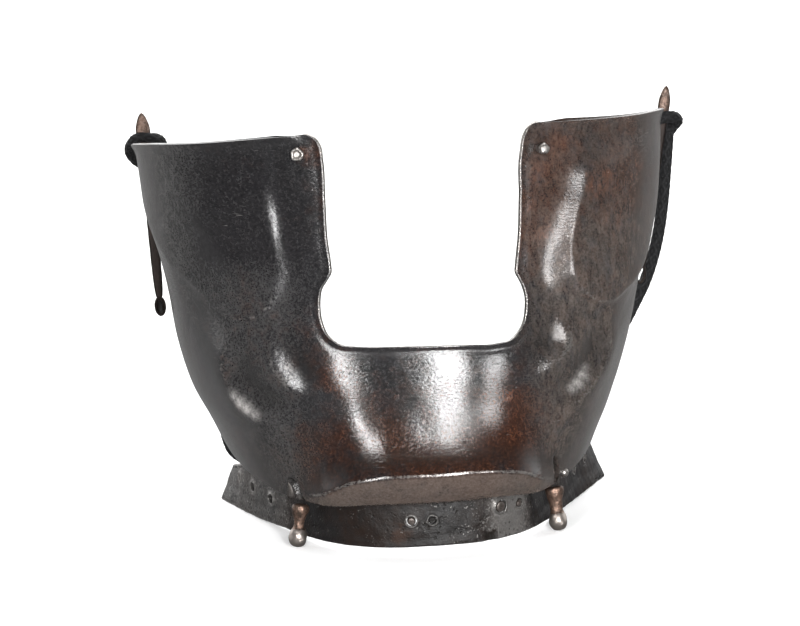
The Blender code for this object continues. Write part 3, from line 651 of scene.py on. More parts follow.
# pockets of orange rust
RUST = (
    (-26.0, 110, 3.2, 0.8), (-28.2, 109.5, 3.0, 0.6), (-50.5, 92.5, 1.2, 0.7), (-46.5, 53, 2.0, 0.8),
    (-48.4, 50, 1.6, 0.6), (-35.5, 60, 2.5, 0.5), (52, 28, 6.0, 0.7), (44, 33, 4.0, 0.45),
    (60, 36, 5.0, 0.5), (-20.5, 52, 2.6, 0.5), (-20.2, 46, 3.0, 0.5), (-7, 43.5, 2.4, 0.6),
    (17, 43, 3.0, 0.8), (17.5, 37, 3.2, 0.5), (18, 31, 3.0, 0.6), (-31.4, 17, 1.3, 0.9),
    (29.0, 18.6, 1.3, 0.9), (30, 100, 5.0, 0.8), (36, 108, 5.0, 0.7), (44, 96, 6.0, 0.8),
    (48, 84, 5.0, 0.6), (30, 84, 4.5, 0.7), (58, 98, 5.0, 0.6), (27, 92, 3.0, 0.6),
)
# places rubbed to grey metal, and painted highlights on the flanks of the two inner folds
RUBBED_AND_HIGHLIT = (
    (-44.5, 96, 4.5, 0.30), (-52.0, 96, 3.0, 0.30), (-30.8, 52, 2.6, 0.55), (-30.0, 49.5, 2.2, 0.5),
    (-28.0, 113.4, 2.5, 0.35), (32.0, 54, 3.0, 0.4),
)
# painted highlights on the flanks of the two large folds
PAINTED_HIGHLIGHTS = (
    (-44.6, 43.0, 1.4, 0.6), (-43.0, 41.3, 1.6, 1.0), (-41.2, 39.9, 1.6, 1.0), (-39.2, 38.6, 1.3, 0.6),
    (38.0, 45.6, 1.2, 0.5), (36.9, 43.8, 1.5, 0.9), (35.4, 42.2, 1.5, 1.0), (33.8, 41.0, 1.3, 0.7),
)
# browner wax
BROWN = (
    (-25, 110, 4.0, 0.5), (-8, 33, 5.0, 0.6), (17, 38, 5.0, 0.8), (18, 30, 5.0, 0.8), (-20.5, 50, 4.0, 0.6),
    (-2, 28, 6.0, 0.5), (8, 27, 6.0, 0.5), (-22, 33, 7.0, 0.3), (30, 92, 7.0, 0.4), (52, 96, 8.0, 0.4),
    (26, 86, 6.0, 0.4), (34, 104, 6.0, 0.4),
)
MATT = ((7.5, 34.5, 7.5, 0.6),)  # a dull patch on the chin
DARK_SEAT = ((28.2, 107.3, 1.5, 1.0),)  # a spot beside the right stud, darkened
full_angle = np.concatenate([angle, np.repeat(angle[:, -1:], flange_rows, 1)], 1)
full_z = np.concatenate([z, np.repeat(z[:, -1:], flange_rows, 1)], 1)


def spread(values):
    """Carry a mark on the face down onto the flange at the strength of the last row."""
    return np.concatenate([values, np.repeat(values[:, -1:], flange_rows, 1)], 1)


edge = np.minimum(row_open, row_end)
on_right = 0.12 * ease(full_angle / 10)
# Rubbed edges, crests and spots; the spots on the inner folds' flanks are painted highlights.
worn = np.clip(0.95 * bell(edge, 0.55) + 0.45 * bell(row_top, 0.5) + (0.50 + on_right) * spread(crests)
               + 0.7 * spread(ridge) + (0.48 + on_right) * spread(rims)
               + spots(full_angle, full_z, RUBBED_AND_HIGHLIT), 0, 1)
# Painted shade: this mark darkens the fold grooves, the slits, the band above the chin's ridge and the groove
# inside the mouth's lip, and a spot beside the right stud.
hollow = np.clip(0.6 * spread(grooves) + 1.2 * spread(dents) + 0.5 * spread(ridge_shade)
                 + 0.5 * spread(bell(from_edge - 1.9, 0.7) * mouth[:, None])
                 + spots(full_angle, full_z, DARK_SEAT), 0, 1)
rust = 0.75 * spots(full_angle, full_z, RUST)
matt, painted_highlight = (spots(full_angle, full_z, places) for places in (MATT, PAINTED_HIGHLIGHTS))
side = ease((full_angle - 8) / 26)
russet = np.clip(0.28 + 0.30 * side * ease((full_z - 50) / 30)
                 + 0.32 * bell(full_angle, 26) * ease((60 - full_z) / 20)
                 - 0.2 * ease((full_z - 66) / 12) * ease((-full_angle - 20) / 12)
                 + spots(full_angle, full_z, BROWN), 0, 1)
# Grey metal on the right cheek; along the left cheek's rear edge this is painted sheen, a pale reflection at
# the turning edge.
grey_and_sheen = np.clip(ease((full_angle - 18) / 14) * (1 - 0.45 * ease((full_z - 80) / 14))
                 + 0.45 * ease((-full_angle - 60) / 20)
                 + 0.25 * ease((40 - full_z) / 20) * ease((-full_angle - 20) / 8), 0, 1)
outer_cheek = ease((np.abs(full_angle) - 48) / 18)
outer_cheek = np.maximum(outer_cheek, 0.5 * ease((-full_angle - 24) / 10) * ease((84 - full_z) / 14))


def both_sides(values, inside=0.0):
    """A mark for the outer points, then the same mark scaled for the inner points."""
    return np.concatenate([values.ravel(), (values[1:-1, 1:-1] * inside).ravel()])


marks = {
    "worn": both_sides(worn, 0.1), "hollow": both_sides(hollow), "rust": both_sides(rust, 0.5),
    "russet": both_sides(russet, 1.0), "grey_and_sheen": both_sides(grey_and_sheen, 1.0), "matt": both_sides(matt),
    "facet": both_sides(spread(facet)), "painted_highlight": both_sides(painted_highlight), "outer": both_sides(outer_cheek),
}
place_uv = np.stack([both_sides(full_angle, 1.0) * ARC_MM * MM, both_sides(full_z, 1.0) * MM], -1)
piece("face_sheet", points, [front, rear], finishes["face_iron"], "forged_iron", ["face_shell"],
      [place_uv[front], place_uv[rear]], marks)

# %% [markdown]
# ## The neck plate
# A narrow plate hangs under the jaw to start the throat guard. It is pierced with lacing holes, three of
# them plugged long ago, and its hammered surface is spalled at the lower edge. Holes could be cut with a
# Boolean, but a ring of points laid round each hole, fitted into a square gap in the grid, leaves clean
# faces and lets each hole keep its own raised burr. Three of the open holes hold a thin dark disc a little
# way in, painted shade for the dark inside behind them.

# %% The plate's form
PLATE = np.array((
    (-89.0, 57.3, 52.9, 0.0, 10.2), (-82.0, 55.0, 51.6, 0.0, 11.8), (-74.0, 53.6, 51.4, 0.0, 13.8),
    (-62.0, 53.2, 51.8, 0.1, 16.2), (-44.5, 56.4, 55.0, 0.7, 16.8), (-33.7, 61.3, 59.8, 1.1, 16.4),
    (-23.0, 66.9, 65.6, 1.5, 16.2), (-12.2, 70.6, 69.0, 1.8, 16.2), (0.0, 71.4, 69.4, 2.0, 16.2),
    (12.2, 70.4, 68.5, 1.8, 16.2), (23.0, 65.7, 64.6, 1.5, 16.2), (33.7, 59.2, 57.1, 1.1, 16.4),
    (44.5, 54.2, 52.0, 0.7, 16.8), (62.0, 50.6, 48.4, 0.1, 16.2), (74.0, 51.4, 49.2, 0.0, 13.8),
    (82.0, 53.2, 49.8, 0.0, 11.8), (88.0, 55.4, 51.2, 0.0, 10.2),
))
PLATE_WALL = 1.3
PLATE_REACH = 62.0  # the plate's mean distance from the ear line's centre
PLATE_FROM, PLATE_TO = PLATE[0, 0], PLATE[-1, 0]
# angle, share of the height, radius of the hole, height of the burr round it
HOLES = (
    (-78.6, 0.68, 1.2, 0.25), (-66.4, 0.55, 1.3, 0.1), (-53.8, 0.42, 1.3, 0.4), (-0.3, 0.50, 1.2, 0.3),
    (62.2, 0.50, 1.2, 0.2), (73.6, 0.66, 1.2, 0.2),
    (-5.0, 0.50, 1.4, 0.1), (15.4, 0.60, 1.8, 0.35), (21.3, 0.56, 1.3, 0.1),
)


def plate_point(angle, share):
    """A place on the plate. Its distance from the ear line's centre and its height run from foot to top."""
    foot, top, low, high = (table(angle, PLATE[:, 0], PLATE[:, k]) for k in (1, 2, 3, 4))
    radius = foot + (top - foot) * share
    a = np.radians(angle)
    return np.stack([radius * np.sin(a), EAR_Y - radius * np.cos(a),
                     np.maximum(low, 0) * (1 - share) + high * share], -1)


def plate_out(angle, share):
    """The level direction out of the plate, square to its run, so that its foot and top stay cut level."""
    around = plate_point(angle + 0.2, share) - plate_point(angle - 0.2, share)
    out = np.stack([around[..., 1], -around[..., 0], 0 * around[..., 0]], -1)
    return out / np.linalg.norm(out, axis=-1, keepdims=True)


def plate_wear(angle, share):
    """Depth of the hammered waves, the spalled bite in the lower edge and a nick and a dimple."""
    p = plate_point(angle, share)
    s, h = np.radians(angle) * PLATE_REACH, p[..., 2]
    waves = (0.05 * np.sin(0.55 * s + 0.5 * h) + 0.05 * np.sin(0.83 * s - 0.4 * h + 2)
             + 0.03 * np.sin(1.7 * s + h))
    bite = (ease((2.2 - np.abs(s - math.radians(12.7) * PLATE_REACH)) / 1.5)
            * ease((4.6 - h + 0.25 * np.sin(2.2 * s)) / 0.8))
    dimple = bell(np.hypot(s + math.radians(20.2) * PLATE_REACH, h - 9.4), 0.8)
    return waves - 0.45 * bite - 0.3 * dimple - 0.15 * bell(h - 4.5 - 0.8 * np.sin(0.2 * s), 1.2), bite


# %% Its grid, with a gap left round each hole
PLATE_COLUMNS, PLATE_ROWS = 341, 29
plate_edge = np.array([0, 0.03, 0.1, 0.22, 0.4, 0.62, 0.9])
even_angles = np.linspace(PLATE_FROM, PLATE_TO, PLATE_COLUMNS)[2:-2]
plate_angles = np.concatenate([PLATE_FROM + plate_edge, even_angles, PLATE_TO - plate_edge[::-1]])
row_shares = np.linspace(0, 1, PLATE_ROWS)[2:-2]
plate_height = table(plate_angles, PLATE[:, 0], PLATE[:, 4] - np.maximum(PLATE[:, 3], 0))
plate_shares = np.concatenate([
    plate_edge[None, :] / plate_height[:, None],
    np.tile(row_shares, (len(plate_angles), 1)),
    1 - plate_edge[None, ::-1] / plate_height[:, None],
], 1)
grid_angle = np.broadcast_to(plate_angles[:, None], plate_shares.shape)
wear, bite = plate_wear(grid_angle, plate_shares)
outer = plate_point(grid_angle, plate_shares) + plate_out(grid_angle, plate_shares) * wear[..., None]
out = plate_out(grid_angle, plate_shares)
arc = np.concatenate([[0], np.cumsum(np.linalg.norm(np.diff(outer[:, 14], axis=0), axis=1))])
from_ends = np.minimum(arc, arc[-1] - arc)[:, None] + 0 * plate_shares
from_foot, from_head = plate_shares * plate_height[:, None], (1 - plate_shares) * plate_height[:, None]
points, near_index, far_index = walled(outer, out, PLATE_WALL, (from_foot, from_head, from_ends), 0.5)
plate_total = len(points)
near_quads, far_quads = quads(near_index), quads(far_index)[:, ::-1]
kept = np.ones((outer.shape[0] - 1, outer.shape[1] - 1), bool)
print("plate:", outer.shape, f"{arc[-1]:.0f} mm long")


# %% Rings of points round each hole
def ring_block(index, i, j, wide, tall):
    """The numbers of the points round a block of the grid, once round, starting at its first corner."""
    i0, i1, j0, j1 = i - wide, i + wide, j - tall, j + tall
    return np.concatenate([index[i0:i1, j0], index[i1, j0:j1], index[i1:i0:-1, j1], index[i0, j1:j0:-1]])


HOLE_MARGIN = 0.75  # from a hole's wall to the gap in the grid
hole_points, hole_faces, rims = [], [], []
for hole_angle, share, radius, burr in HOLES:
    i = int(np.abs(plate_angles - hole_angle).argmin())
    j = int(np.abs(plate_shares[i] - share).argmin())
    step_i = np.linalg.norm(outer[i + 1, j] - outer[i, j])
    step_j = np.linalg.norm(outer[i, j + 1] - outer[i, j])
    wide, tall = (math.ceil((radius + HOLE_MARGIN) / step) for step in (step_i, step_j))
    kept[i - wide:i + wide, j - tall:j + tall] = False
    near_ring, far_ring = ring_block(near_index, i, j, wide, tall), ring_block(far_index, i, j, wide, tall)
    middle, square = outer[i, j], out[i, j]
    edge_points = points[near_ring] - middle
    side_way = np.cross([0.0, 0.0, 1.0], square)
    side_way /= np.linalg.norm(side_way)
    up_way = np.cross(square, side_way)
    turn_at = np.arctan2(edge_points @ up_way, edge_points @ side_way)
    circle = np.cos(turn_at)[:, None] * side_way + np.sin(turn_at)[:, None] * up_way
    ragged = 1 + 0.05 * np.sin(3 * turn_at + share * 40) + 0.03 * np.sin(7 * turn_at + hole_angle)
    # distance out from the hole's wall and height over the plate, from the burr's foot down through the hole
    outline = ((0.62, 0.05), (0.45, 0.35), (0.3, 0.8), (0.17, 1.0), (0.07, 0.85), (0.01, 0.45), (0.0, 0.0))
    uneven = burr * (1 + 0.25 * np.sin(2 * turn_at + hole_angle))
    levels = [(away, rise * uneven) for away, rise in outline]
    levels += [(away, -down * PLATE_WALL * np.ones(len(turn_at)))
               for away, down in ((0.0, 0.35), (0.0, 0.7), (0.05, 0.93), (0.2, 1.0))]
    rings = [middle + circle * (radius * ragged + away)[:, None] + square * level[:, None]
             for away, level in levels]
    base, count = plate_total + sum(len(p) for p in hole_points), len(near_ring)
    hole_points.append(np.concatenate(rings))
    numbers = np.concatenate([near_ring[None], base + np.arange(len(rings) * count).reshape(-1, count),
                              far_ring[None]])
    hole_faces.append(quads(np.concatenate([numbers, numbers[:, :1]], 1)))
    rims.append((middle, radius))
print(len(HOLES), "holes,", sum(len(p) for p in hole_points), "points in their rings")

# %% Join the plate
all_points = np.concatenate([points, *hole_points])
forward = np.array([0.0, -1.0, 0.0])
near_quads = facing(all_points, near_quads[kept.ravel()], forward)
far_quads = facing(all_points, far_quads[kept.ravel()], -forward)
first_ring = hole_faces[0][:20]
square = plate_out(*np.array(HOLES[0][:2]))
ring_faces = np.concatenate(hole_faces)
if facing(all_points, first_ring, square) is not first_ring:
    ring_faces = ring_faces[:, ::-1]
rim_near = np.min([np.abs(np.linalg.norm(all_points - m, axis=1) - r - 0.2) for m, r in rims], axis=0)
plate_back = np.zeros(len(all_points))
plate_back[outer.size // 3:plate_total] = 1
foot_edge = np.concatenate([np.minimum(np.minimum(from_foot, from_head), from_ends).ravel(),
                            np.full(len(all_points) - outer.size // 3, 9.0)])
bite_all = np.concatenate([bite.ravel(), np.zeros(len(all_points) - bite.size)])
place_angle = np.degrees(np.arctan2(all_points[:, 0], EAR_Y - all_points[:, 1]))
plate_rust = np.clip(bell(np.hypot((place_angle + 7.5) * 1.2, all_points[:, 2] - 6), 4.0) * 0.8
                     + bell(np.hypot((place_angle + 78.6) * 1.0, all_points[:, 2] - 8.5), 2.6), 0, 1)
rubbed_places = 0.8 * bell(place_angle - 18, 9) * (1 - bite_all) + 0.55 * ease((-place_angle - 36) / 10)
piece("throat_plate", all_points, [near_quads, far_quads, ring_faces], finishes["plate_iron"], "forged_iron",
      ["neck_plate"], None, {
          "worn": np.clip(0.8 * bell(rim_near, 0.35) + 0.7 * bell(foot_edge, 0.35)
                          + rubbed_places * (1 - plate_back), 0, 1),
          "hollow": np.clip(0.9 * bite_all + 0.4 * bell(place_angle, 20), 0, 1),
          "rust": plate_rust, "russet": 0.35 + 0.3 * np.sin(place_angle * 0.11) ** 2})

# %% [markdown]
# ## Turned and filed fittings
# Two posts under the chin held the helmet cords. Each was turned with a barrel neck and a ball foot. Studs,
# plugs and rivets are small turned shapes too, so one function sweeps a profile round an axis, and a second
# profile in the other direction can press facets or dents into it.

# %% Sweep a profile round an axis
PROFILE_ROWS = 4  # rows of points for each point of a profile


def turned(profile, at, axis, steps=64, press=None, flat=1.0):
    """Radius r and distance t along an axis, as a smooth curve through the profile, swept round the axis.

    press(turn, t) multiplies the radius, for facets. The ends close on points of the axis itself.
    """
    profile = np.asarray(profile, float)
    chord = np.concatenate([[0], np.cumsum(np.linalg.norm(np.diff(profile, axis=0), axis=1))])
    u = np.linspace(0, chord[-1], PROFILE_ROWS * len(profile))
    r, t = table(u, chord, profile[:, 0]), table(u, chord, profile[:, 1])
    r, tips = np.maximum(r[1:-1], 1e-3), (t[0], t[-1])
    t = t[1:-1]
    axis = np.asarray(axis, float) / np.linalg.norm(axis)
    side = np.cross(axis, [0.0, 1.0, 0.0] if abs(axis[1]) < 0.9 else [1.0, 0.0, 0.0])
    side /= np.linalg.norm(side)
    other = np.cross(axis, side)
    turn = np.arange(steps) * 2 * math.pi / steps
    swell = press(turn[None, :], t[:, None]) if press else 1.0
    reach = r[:, None] * swell * np.ones((1, steps))
    circle = np.cos(turn)[None, :, None] * side + flat * np.sin(turn)[None, :, None] * other
    grid = np.asarray(at, float) + axis * t[:, None, None] + circle * reach[..., None]
    return *closed_tube(grid, [at + axis * tip for tip in tips]), np.concatenate([np.repeat(t, steps), tips])


def sheet_place(angle, z):
    """A point on the raised face and the direction square out of it."""
    angle, z = np.full((1, 1), float(angle)), np.full((1, 1), float(z))
    rise = lobes(angle, z)[0] + folds(angle, z)[0] + chin(angle, z)[0]
    out = square_out(angle, z)[0, 0]
    return plan(angle, z)[0, 0] + out * rise[0, 0], out


# %% Chin posts
POST_TOPS = ((-35.4, -32.4, 12.6), (34.3, -32.4, 12.6))
POST_FEET = ((-36.9, -34.0, 2.5), (35.1, -34.2, 2.5))
POST_LEFT = (
    (0, 0.9), (1.5, 0.95), (2.15, 1.3), (2.4, 2.0), (2.35, 2.9), (2.05, 3.9), (1.65, 4.9), (1.4, 5.9),
    (1.35, 6.6), (1.55, 7.4), (2.15, 8.4), (2.47, 9.6), (2.47, 10.8), (2.1, 11.9), (1.4, 12.55),
    (0.6, 12.8), (0, 12.84),
)
POST_RIGHT = (
    (0, 0.5), (1.9, 0.55), (2.5, 0.9), (2.6, 1.6), (2.4, 2.8), (2.1, 4.0), (1.85, 5.2), (1.7, 6.2),
    (1.68, 6.9), (1.85, 7.6), (2.25, 8.6), (2.5, 9.8), (2.45, 10.9), (2.05, 11.8), (1.4, 12.45),
    (0.6, 12.72), (0, 12.76),
)
for side, top, foot, profile in zip(("left", "right"), POST_TOPS, POST_FEET, (POST_LEFT, POST_RIGHT)):
    top, foot = np.array(top), np.array(foot)
    points, faces, t = turned(
        profile, top, foot - top, 64,
        lambda turn, t: 1 + 0.025 * np.sin(3 * turn + t) + 0.015 * np.sin(5 * turn - 2 * t))
    piece(f"post_{side}", points, faces, finishes["brown_iron"], "brown_iron", [f"chin_post_{side}"], None,
          {"worn": ease((t - 7.4) / 1.2)})

# %% Tangs, studs and rivets of bright iron
TANGS = ((-33.4, 16.6, 5.2, 1.0), (31.4, 15.6, 4.2, 0.4))  # angle, height, length and share of the full width
for side, (tang_angle, tang_z, long, width) in zip(("left", "right"), TANGS):
    at, square = sheet_place(tang_angle, tang_z)
    up_way = np.array([0.0, 0.0, 1.0]) - square * square[2]
    shape = ((0, -0.5), (0.9 * width, -0.46), (1.25 * width, -0.36), (1.2 * width, -0.2), (0.95 * width, 0.0),
             (0.62 * width, 0.2), (0.3 * width, 0.38), (0, 0.5))
    points, faces, t = turned([(r, v * long) for r, v in shape], at + square * 0.35, up_way, 40, None, 0.45)
    piece(f"tang_{side}", points, faces, finishes["bright_iron"], "worn_iron", [f"post_tang_{side}"], None,
          {"dull": 1.0})

STUD_LEFT = (
    (0, -0.3), (1.6, -0.3), (1.65, 0.3), (1.8, 0.6), (1.95, 0.95), (1.85, 1.35), (1.5, 1.5), (1.15, 1.3),
    (0.9, 1.0), (0.5, 0.9), (0, 0.9),
)
STUD_RIGHT = (
    (0, -0.3), (1.2, -0.3), (1.25, 0.2), (1.1, 1.6), (1.3, 1.85), (1.55, 2.1), (1.6, 2.6), (1.35, 3.1),
    (0.95, 3.4), (0.5, 3.5), (0, 3.52),
)
# side, angle, height, profile of the shank and head, height where the head starts
STUDS = (("left", -28.2, 109.5, STUD_LEFT, 0.1), ("right", 30.4, 107.2, STUD_RIGHT, 1.7))
for side, stud_angle, stud_z, head, head_start in STUDS:
    at, square = sheet_place(stud_angle, stud_z)
    points, faces, t = turned(
        head, at, square, 48,
        lambda turn, t: 1 - 0.12 * np.abs(np.sin(2.5 * turn + 0.4)) * ease((t - head_start) / 0.5)
        + 0.04 * np.sin(3 * turn + 1))
    piece(f"stud_{side}", points, faces, finishes["bright_iron"], "worn_iron", [f"nose_stud_{side}"], None,
          {"shank": 1 - ease((t - head_start) / 0.3)})

at, square = sheet_place(34.4, 15.9)
points, faces, t = turned(
    ((0, -0.3), (1.2, -0.3), (1.32, 0.1), (1.2, 0.6), (0.8, 1.0), (0.35, 1.16), (0, 1.2)), at, square, 32)
piece("flange_rivet", points, faces, finishes["bright_iron"], "worn_iron", ["post_rivet_right"])

DARKENED_HOLES = (1, 2, 3)  # three of the open holes get a dark disc a little way in: painted shade for the dark inside behind them
for number, which in enumerate(DARKENED_HOLES, 1):
    middle, square = rims[which][0], plate_out(*np.array(HOLES[which][:2]))
    dark_fill = ((0, -1.1), (0.9, -1.1), (0.98, -1.0), (0.98, -0.7), (0.8, -0.55), (0.4, -0.62), (0, -0.6))
    points, faces, t = turned([(r * rims[which][1], v) for r, v in dark_fill], middle, square, 32)
    piece(f"hole_shade_disc_{number}", points, faces, finishes["plate_iron"], "forged_iron", [], None,
          {"hollow": 1.0})

PLUGGED = ((6, 1.1), (7, 1.5), (8, 1.0))  # the last three holes, and the radius of the plug in each
for number, (which, radius) in enumerate(PLUGGED, 1):
    middle, square = rims[which][0], plate_out(*np.array(HOLES[which][:2]))
    head = ((0, -1.45), (0.8 * radius, -1.45), (radius, -1.3), (radius, 0.0), (0.92 * radius, 0.25),
            (0.6 * radius, 0.42), (0, 0.45))
    points, faces, t = turned(head, middle, square, 32, lambda turn, t: 1 + 0.05 * np.sin(2 * turn + number))
    piece(f"plug_{number}", points, faces, finishes["bright_iron"], "worn_iron", [f"plate_rivet_{number}"],
          None, {"shank": 1.0, "dull": 0.3})

# %% [markdown]
# ## The cord strips
# A slim forged strip runs up behind each cheek, and its leaf-shaped tip stands above the sheet as a horn
# for the braid. Its foot is drawn out thin and bent round into an eye. The bar is a rounded oblong carried
# up a line while its half width follows a table, and the eye is a small round bar carried round an oval.
# Rust has choked the left eye, so a thin oval crust fills it.

# %% Forge the strips
STRIP_FOOT = ((-71.2, 37.2, 51.2), (69.2, 37.2, 52.4))
STRIP_TIP = ((-73.4, 36.8, 111.8), (79.0, 36.8, 111.2))
STRIP_SLIM = (0.0, 0.18)  # how much narrower the spur is on each side
STRIP_HALF = ((0.088, 0.25), (0.10, 0.75), (0.13, 1.15), (0.2, 1.35), (0.5, 1.5), (0.84, 1.85), (0.875, 2.05),
              (0.91, 2.1), (0.94, 1.95), (0.965, 1.5), (0.985, 0.95), (0.996, 0.45), (1.0, 0.1))
STRIP_THICK = 1.4
EYE_AT = 0.058  # the eye's middle, as a share of the strip's length
EYE_WIDE, EYE_TALL = 1.22, 2.5  # half sizes of the loop that its bar follows


def strip_frame(foot, tip):
    """A strip's foot and length, and the directions along, across and through it."""
    foot, tip = np.array(foot), np.array(tip)
    long = np.linalg.norm(tip - foot)
    way = (tip - foot) / long
    wide_way = np.cross([0.0, 1.0, 0.0], way)
    return foot, long, way, wide_way, np.cross(way, wide_way)


def strip(foot, tip, slim):
    """The bar and the eye at its foot, both in the upright plane that faces forward."""
    foot, long, way, wide_way, thick_way = strip_frame(foot, tip)
    u = np.concatenate([np.linspace(0.088, 0.14, 16), np.linspace(0.15, 0.82, 70), np.linspace(0.825, 1, 44)])
    half = table(u, *np.array(STRIP_HALF).T) * (1 - slim * ease((u - 0.78) / 0.06))
    thin = STRIP_THICK / 2 * (0.35 + 0.65 * np.minimum(ease((u - 0.086) / 0.02), ease((1.006 - u) / 0.03)))
    v = np.arange(28) * 2 * math.pi / 28
    c, s = np.cos(v), np.sin(v)
    box_c, box_s = np.sign(c) * np.abs(c) ** 0.55, np.sign(s) * np.abs(s) ** 0.55
    wander = 1 + 0.02 * np.sin(u * 70) + 0.015 * np.sin(u * 31 + 1)
    ridge = 1 + 0.18 * ease((u - 0.84) / 0.05)[:, None] * (1 - np.abs(box_c))[None, :]
    bar = (foot + way * (u * long)[:, None, None]
           + wide_way * (half * wander)[:, None, None] * box_c[None, :, None]
           + thick_way * (thin[:, None] * ridge)[..., None] * box_s[None, :, None])
    points, blocks = closed_tube(bar, [foot + way * 0.087 * long, foot + way * (long + 0.02)])
    w = np.arange(48) * 2 * math.pi / 48
    loop = np.stack([EYE_WIDE * np.sin(w), EYE_AT * long - EYE_TALL * np.cos(w)], -1)
    loop_out = np.stack([np.sin(w), -np.cos(w)], -1)
    k = np.arange(14) * 2 * math.pi / 14
    across_loop = loop[:, None] + loop_out[:, None] * (0.5 * np.cos(k))[None, :, None]
    eye = (foot + wide_way * across_loop[..., :1] + way * across_loop[..., 1:]
           + thick_way * (0.62 * np.sin(k))[None, :, None])
    return points, blocks, eye.reshape(-1, 3), woven(48, 14, True, True)


for side, foot, tip, slim in zip(("left", "right"), STRIP_FOOT, STRIP_TIP, STRIP_SLIM):
    bar, blocks, eye, eye_faces = strip(foot, tip, slim)
    blocks, eye_faces = outward(bar, blocks), outward(eye, [eye_faces])[0]
    points = np.concatenate([bar, eye])
    share_up = (points[:, 2] - foot[2]) / (tip[2] - foot[2])
    piece(f"strip_{side}", points, [*blocks, eye_faces + len(bar)], finishes["brown_iron"], "brown_iron",
          [f"cord_strip_{side}"], None, {"worn": 0.25 * ease((share_up - 0.8) / 0.08),
                                         "dull": 1 - 0.55 * ease((share_up - 0.8) / 0.08)})

foot, long, way, wide_way, thick_way = strip_frame(STRIP_FOOT[0], STRIP_TIP[0])
v = np.arange(40) * 2 * math.pi / 40
rings, heights = np.array([0.55, 0.9, 1.0, 1.0, 0.9]), np.array([-0.1, -0.2, -0.25, 0.25, 0.3])
middle = foot + way * EYE_AT * long
dark_fill = (middle + wide_way * (rings[:, None] * 0.92 * np.sin(v))[..., None]
         + way * (rings[:, None] * 2.2 * np.cos(v))[..., None] + thick_way * heights[:, None, None])
piece("eye_crust", *closed_tube(dark_fill, [middle, middle + thick_way * 0.3]), finishes["plate_iron"],
      "brown_iron", [], None, {"hollow": 0.6, "rust": 0.5})

# %% [markdown]
# ## Finishes
# Old iron is not one colour. Under wax it runs from near black to brown, orange rust sits in pits and
# corners, and rims and crests are rubbed to grey metal. Painted light is mixed in too: a painted grey sheen
# lies on the outer cheeks and along the left cheek's rear edge, the facet under the chin's ridge is paler as
# a painted reflection of the floor, painted highlights lie on the flanks of the folds, and painted shade
# darkens the fold grooves, the slits, the lip's groove, the band above the chin's ridge and the braid
# between its strands. Each finish mixes these by noise in object space and by the marks that the surfaces
# above carry. Shader maths is easier to read as sums than as boxes and threads, so a small class wraps a
# socket and lets the ordinary signs add the nodes.

# %% A socket that knows arithmetic
class Wire:
    """One socket of a node tree. Signs between wires and numbers add Math nodes."""

    def __init__(self, tree, socket=None):
        self.tree, self.socket = tree, socket

    def add(self, kind, settings, inputs, out=0):
        """A node with its settings, then the values or wires of its sockets. Returns one output."""
        node = self.tree.nodes.new(kind)
        for name, value in settings.items():
            setattr(node, name, value)
        for name, value in inputs.items():
            if isinstance(value, Wire):
                self.tree.links.new(value.socket, node.inputs[name])
            else:
                node.inputs[name].default_value = value
        return Wire(self.tree, node.outputs[out])

    def math(self, operation, *values, clamp=False):
        settings = {"operation": operation, "use_clamp": clamp}
        return self.add("ShaderNodeMath", settings, dict(enumerate(values)))

    def __add__(self, other):
        return self.math("ADD", self, other)

    def __sub__(self, other):
        return self.math("SUBTRACT", self, other)

    def __rsub__(self, other):
        return self.math("SUBTRACT", other, self)

    def __mul__(self, other):
        return self.math("MULTIPLY", self, other)

    def clamped(self):
        return self.math("ADD", self, 0.0, clamp=True)

    def at_least(self, other):
        return self.math("MAXIMUM", self, other)

    def over(self, low, high):
        """0 below low, 1 above high, and an even swing between; the other way round if low is the larger."""
        return self.add("ShaderNodeMapRange", {"interpolation_type": "SMOOTHSTEP"},
                        {"Value": self, "From Min": low, "From Max": high})

    def tint(self, below, above):
        """The colour below where this value is 0 and the colour above where it is 1."""
        return self.add("ShaderNodeMix", {"data_type": "RGBA"}, {0: self, 6: below, 7: above}, 2)

    __radd__, __rmul__ = __add__, __mul__


# %% Patterns
class Finish:
    """A material's tree, with the patterns and marks that the finishes share."""

    def __init__(self, material):
        material.use_nodes = True
        self.tree = material.node_tree
        self.shader = self.tree.nodes["Principled BSDF"]
        self.start = Wire(self.tree)
        self.here = self.start.add("ShaderNodeTexCoord", {}, {}, "Object")

    def mark(self, name):
        return self.start.add("ShaderNodeAttribute", {"attribute_name": name}, {}, "Fac")

    def place(self, stretch=(1.0, 1.0, 1.0), shift=(0.0, 0.0, 0.0), uv=False):
        source = self.start.add("ShaderNodeUVMap", {"uv_map": "surface"}, {}) if uv else self.here
        return self.start.add("ShaderNodeMapping", {}, {
            "Vector": source, "Location": shift, "Scale": stretch})

    def noise(self, size, detail=3.0, rough=0.55, place=None, wander=0.0):
        """Cloudy values from 0 to 1 whose lumps are about a size in millimetres."""
        return self.start.add("ShaderNodeTexNoise", {}, {
            "Vector": place or self.here, "Scale": 1 / (size * MM), "Detail": detail, "Roughness": rough,
            "Distortion": wander})

    def pits(self, size):
        """Distance to scattered points about a size apart, 0 at each point."""
        return self.start.add("ShaderNodeTexVoronoi", {"feature": "F1"}, {
            "Vector": self.here, "Scale": 1 / (size * MM)}, "Distance")

    def bump(self, height, depth, strength=1.0):
        """A normal from a height of 0 to 1 that stands for a depth in millimetres."""
        return self.start.add("ShaderNodeBump", {}, {
            "Height": height, "Distance": depth * MM, "Strength": strength})

    def set(self, **values):
        """Wires are linked and numbers set on the shader's own sockets."""
        for name, value in values.items():
            slot = self.shader.inputs[name.replace("_", " ")]
            if isinstance(value, Wire):
                self.tree.links.new(value.socket, slot)
            else:
                slot.default_value = value


# %% Waxed face iron
def shade(*rgb):
    return (*rgb, 1.0)


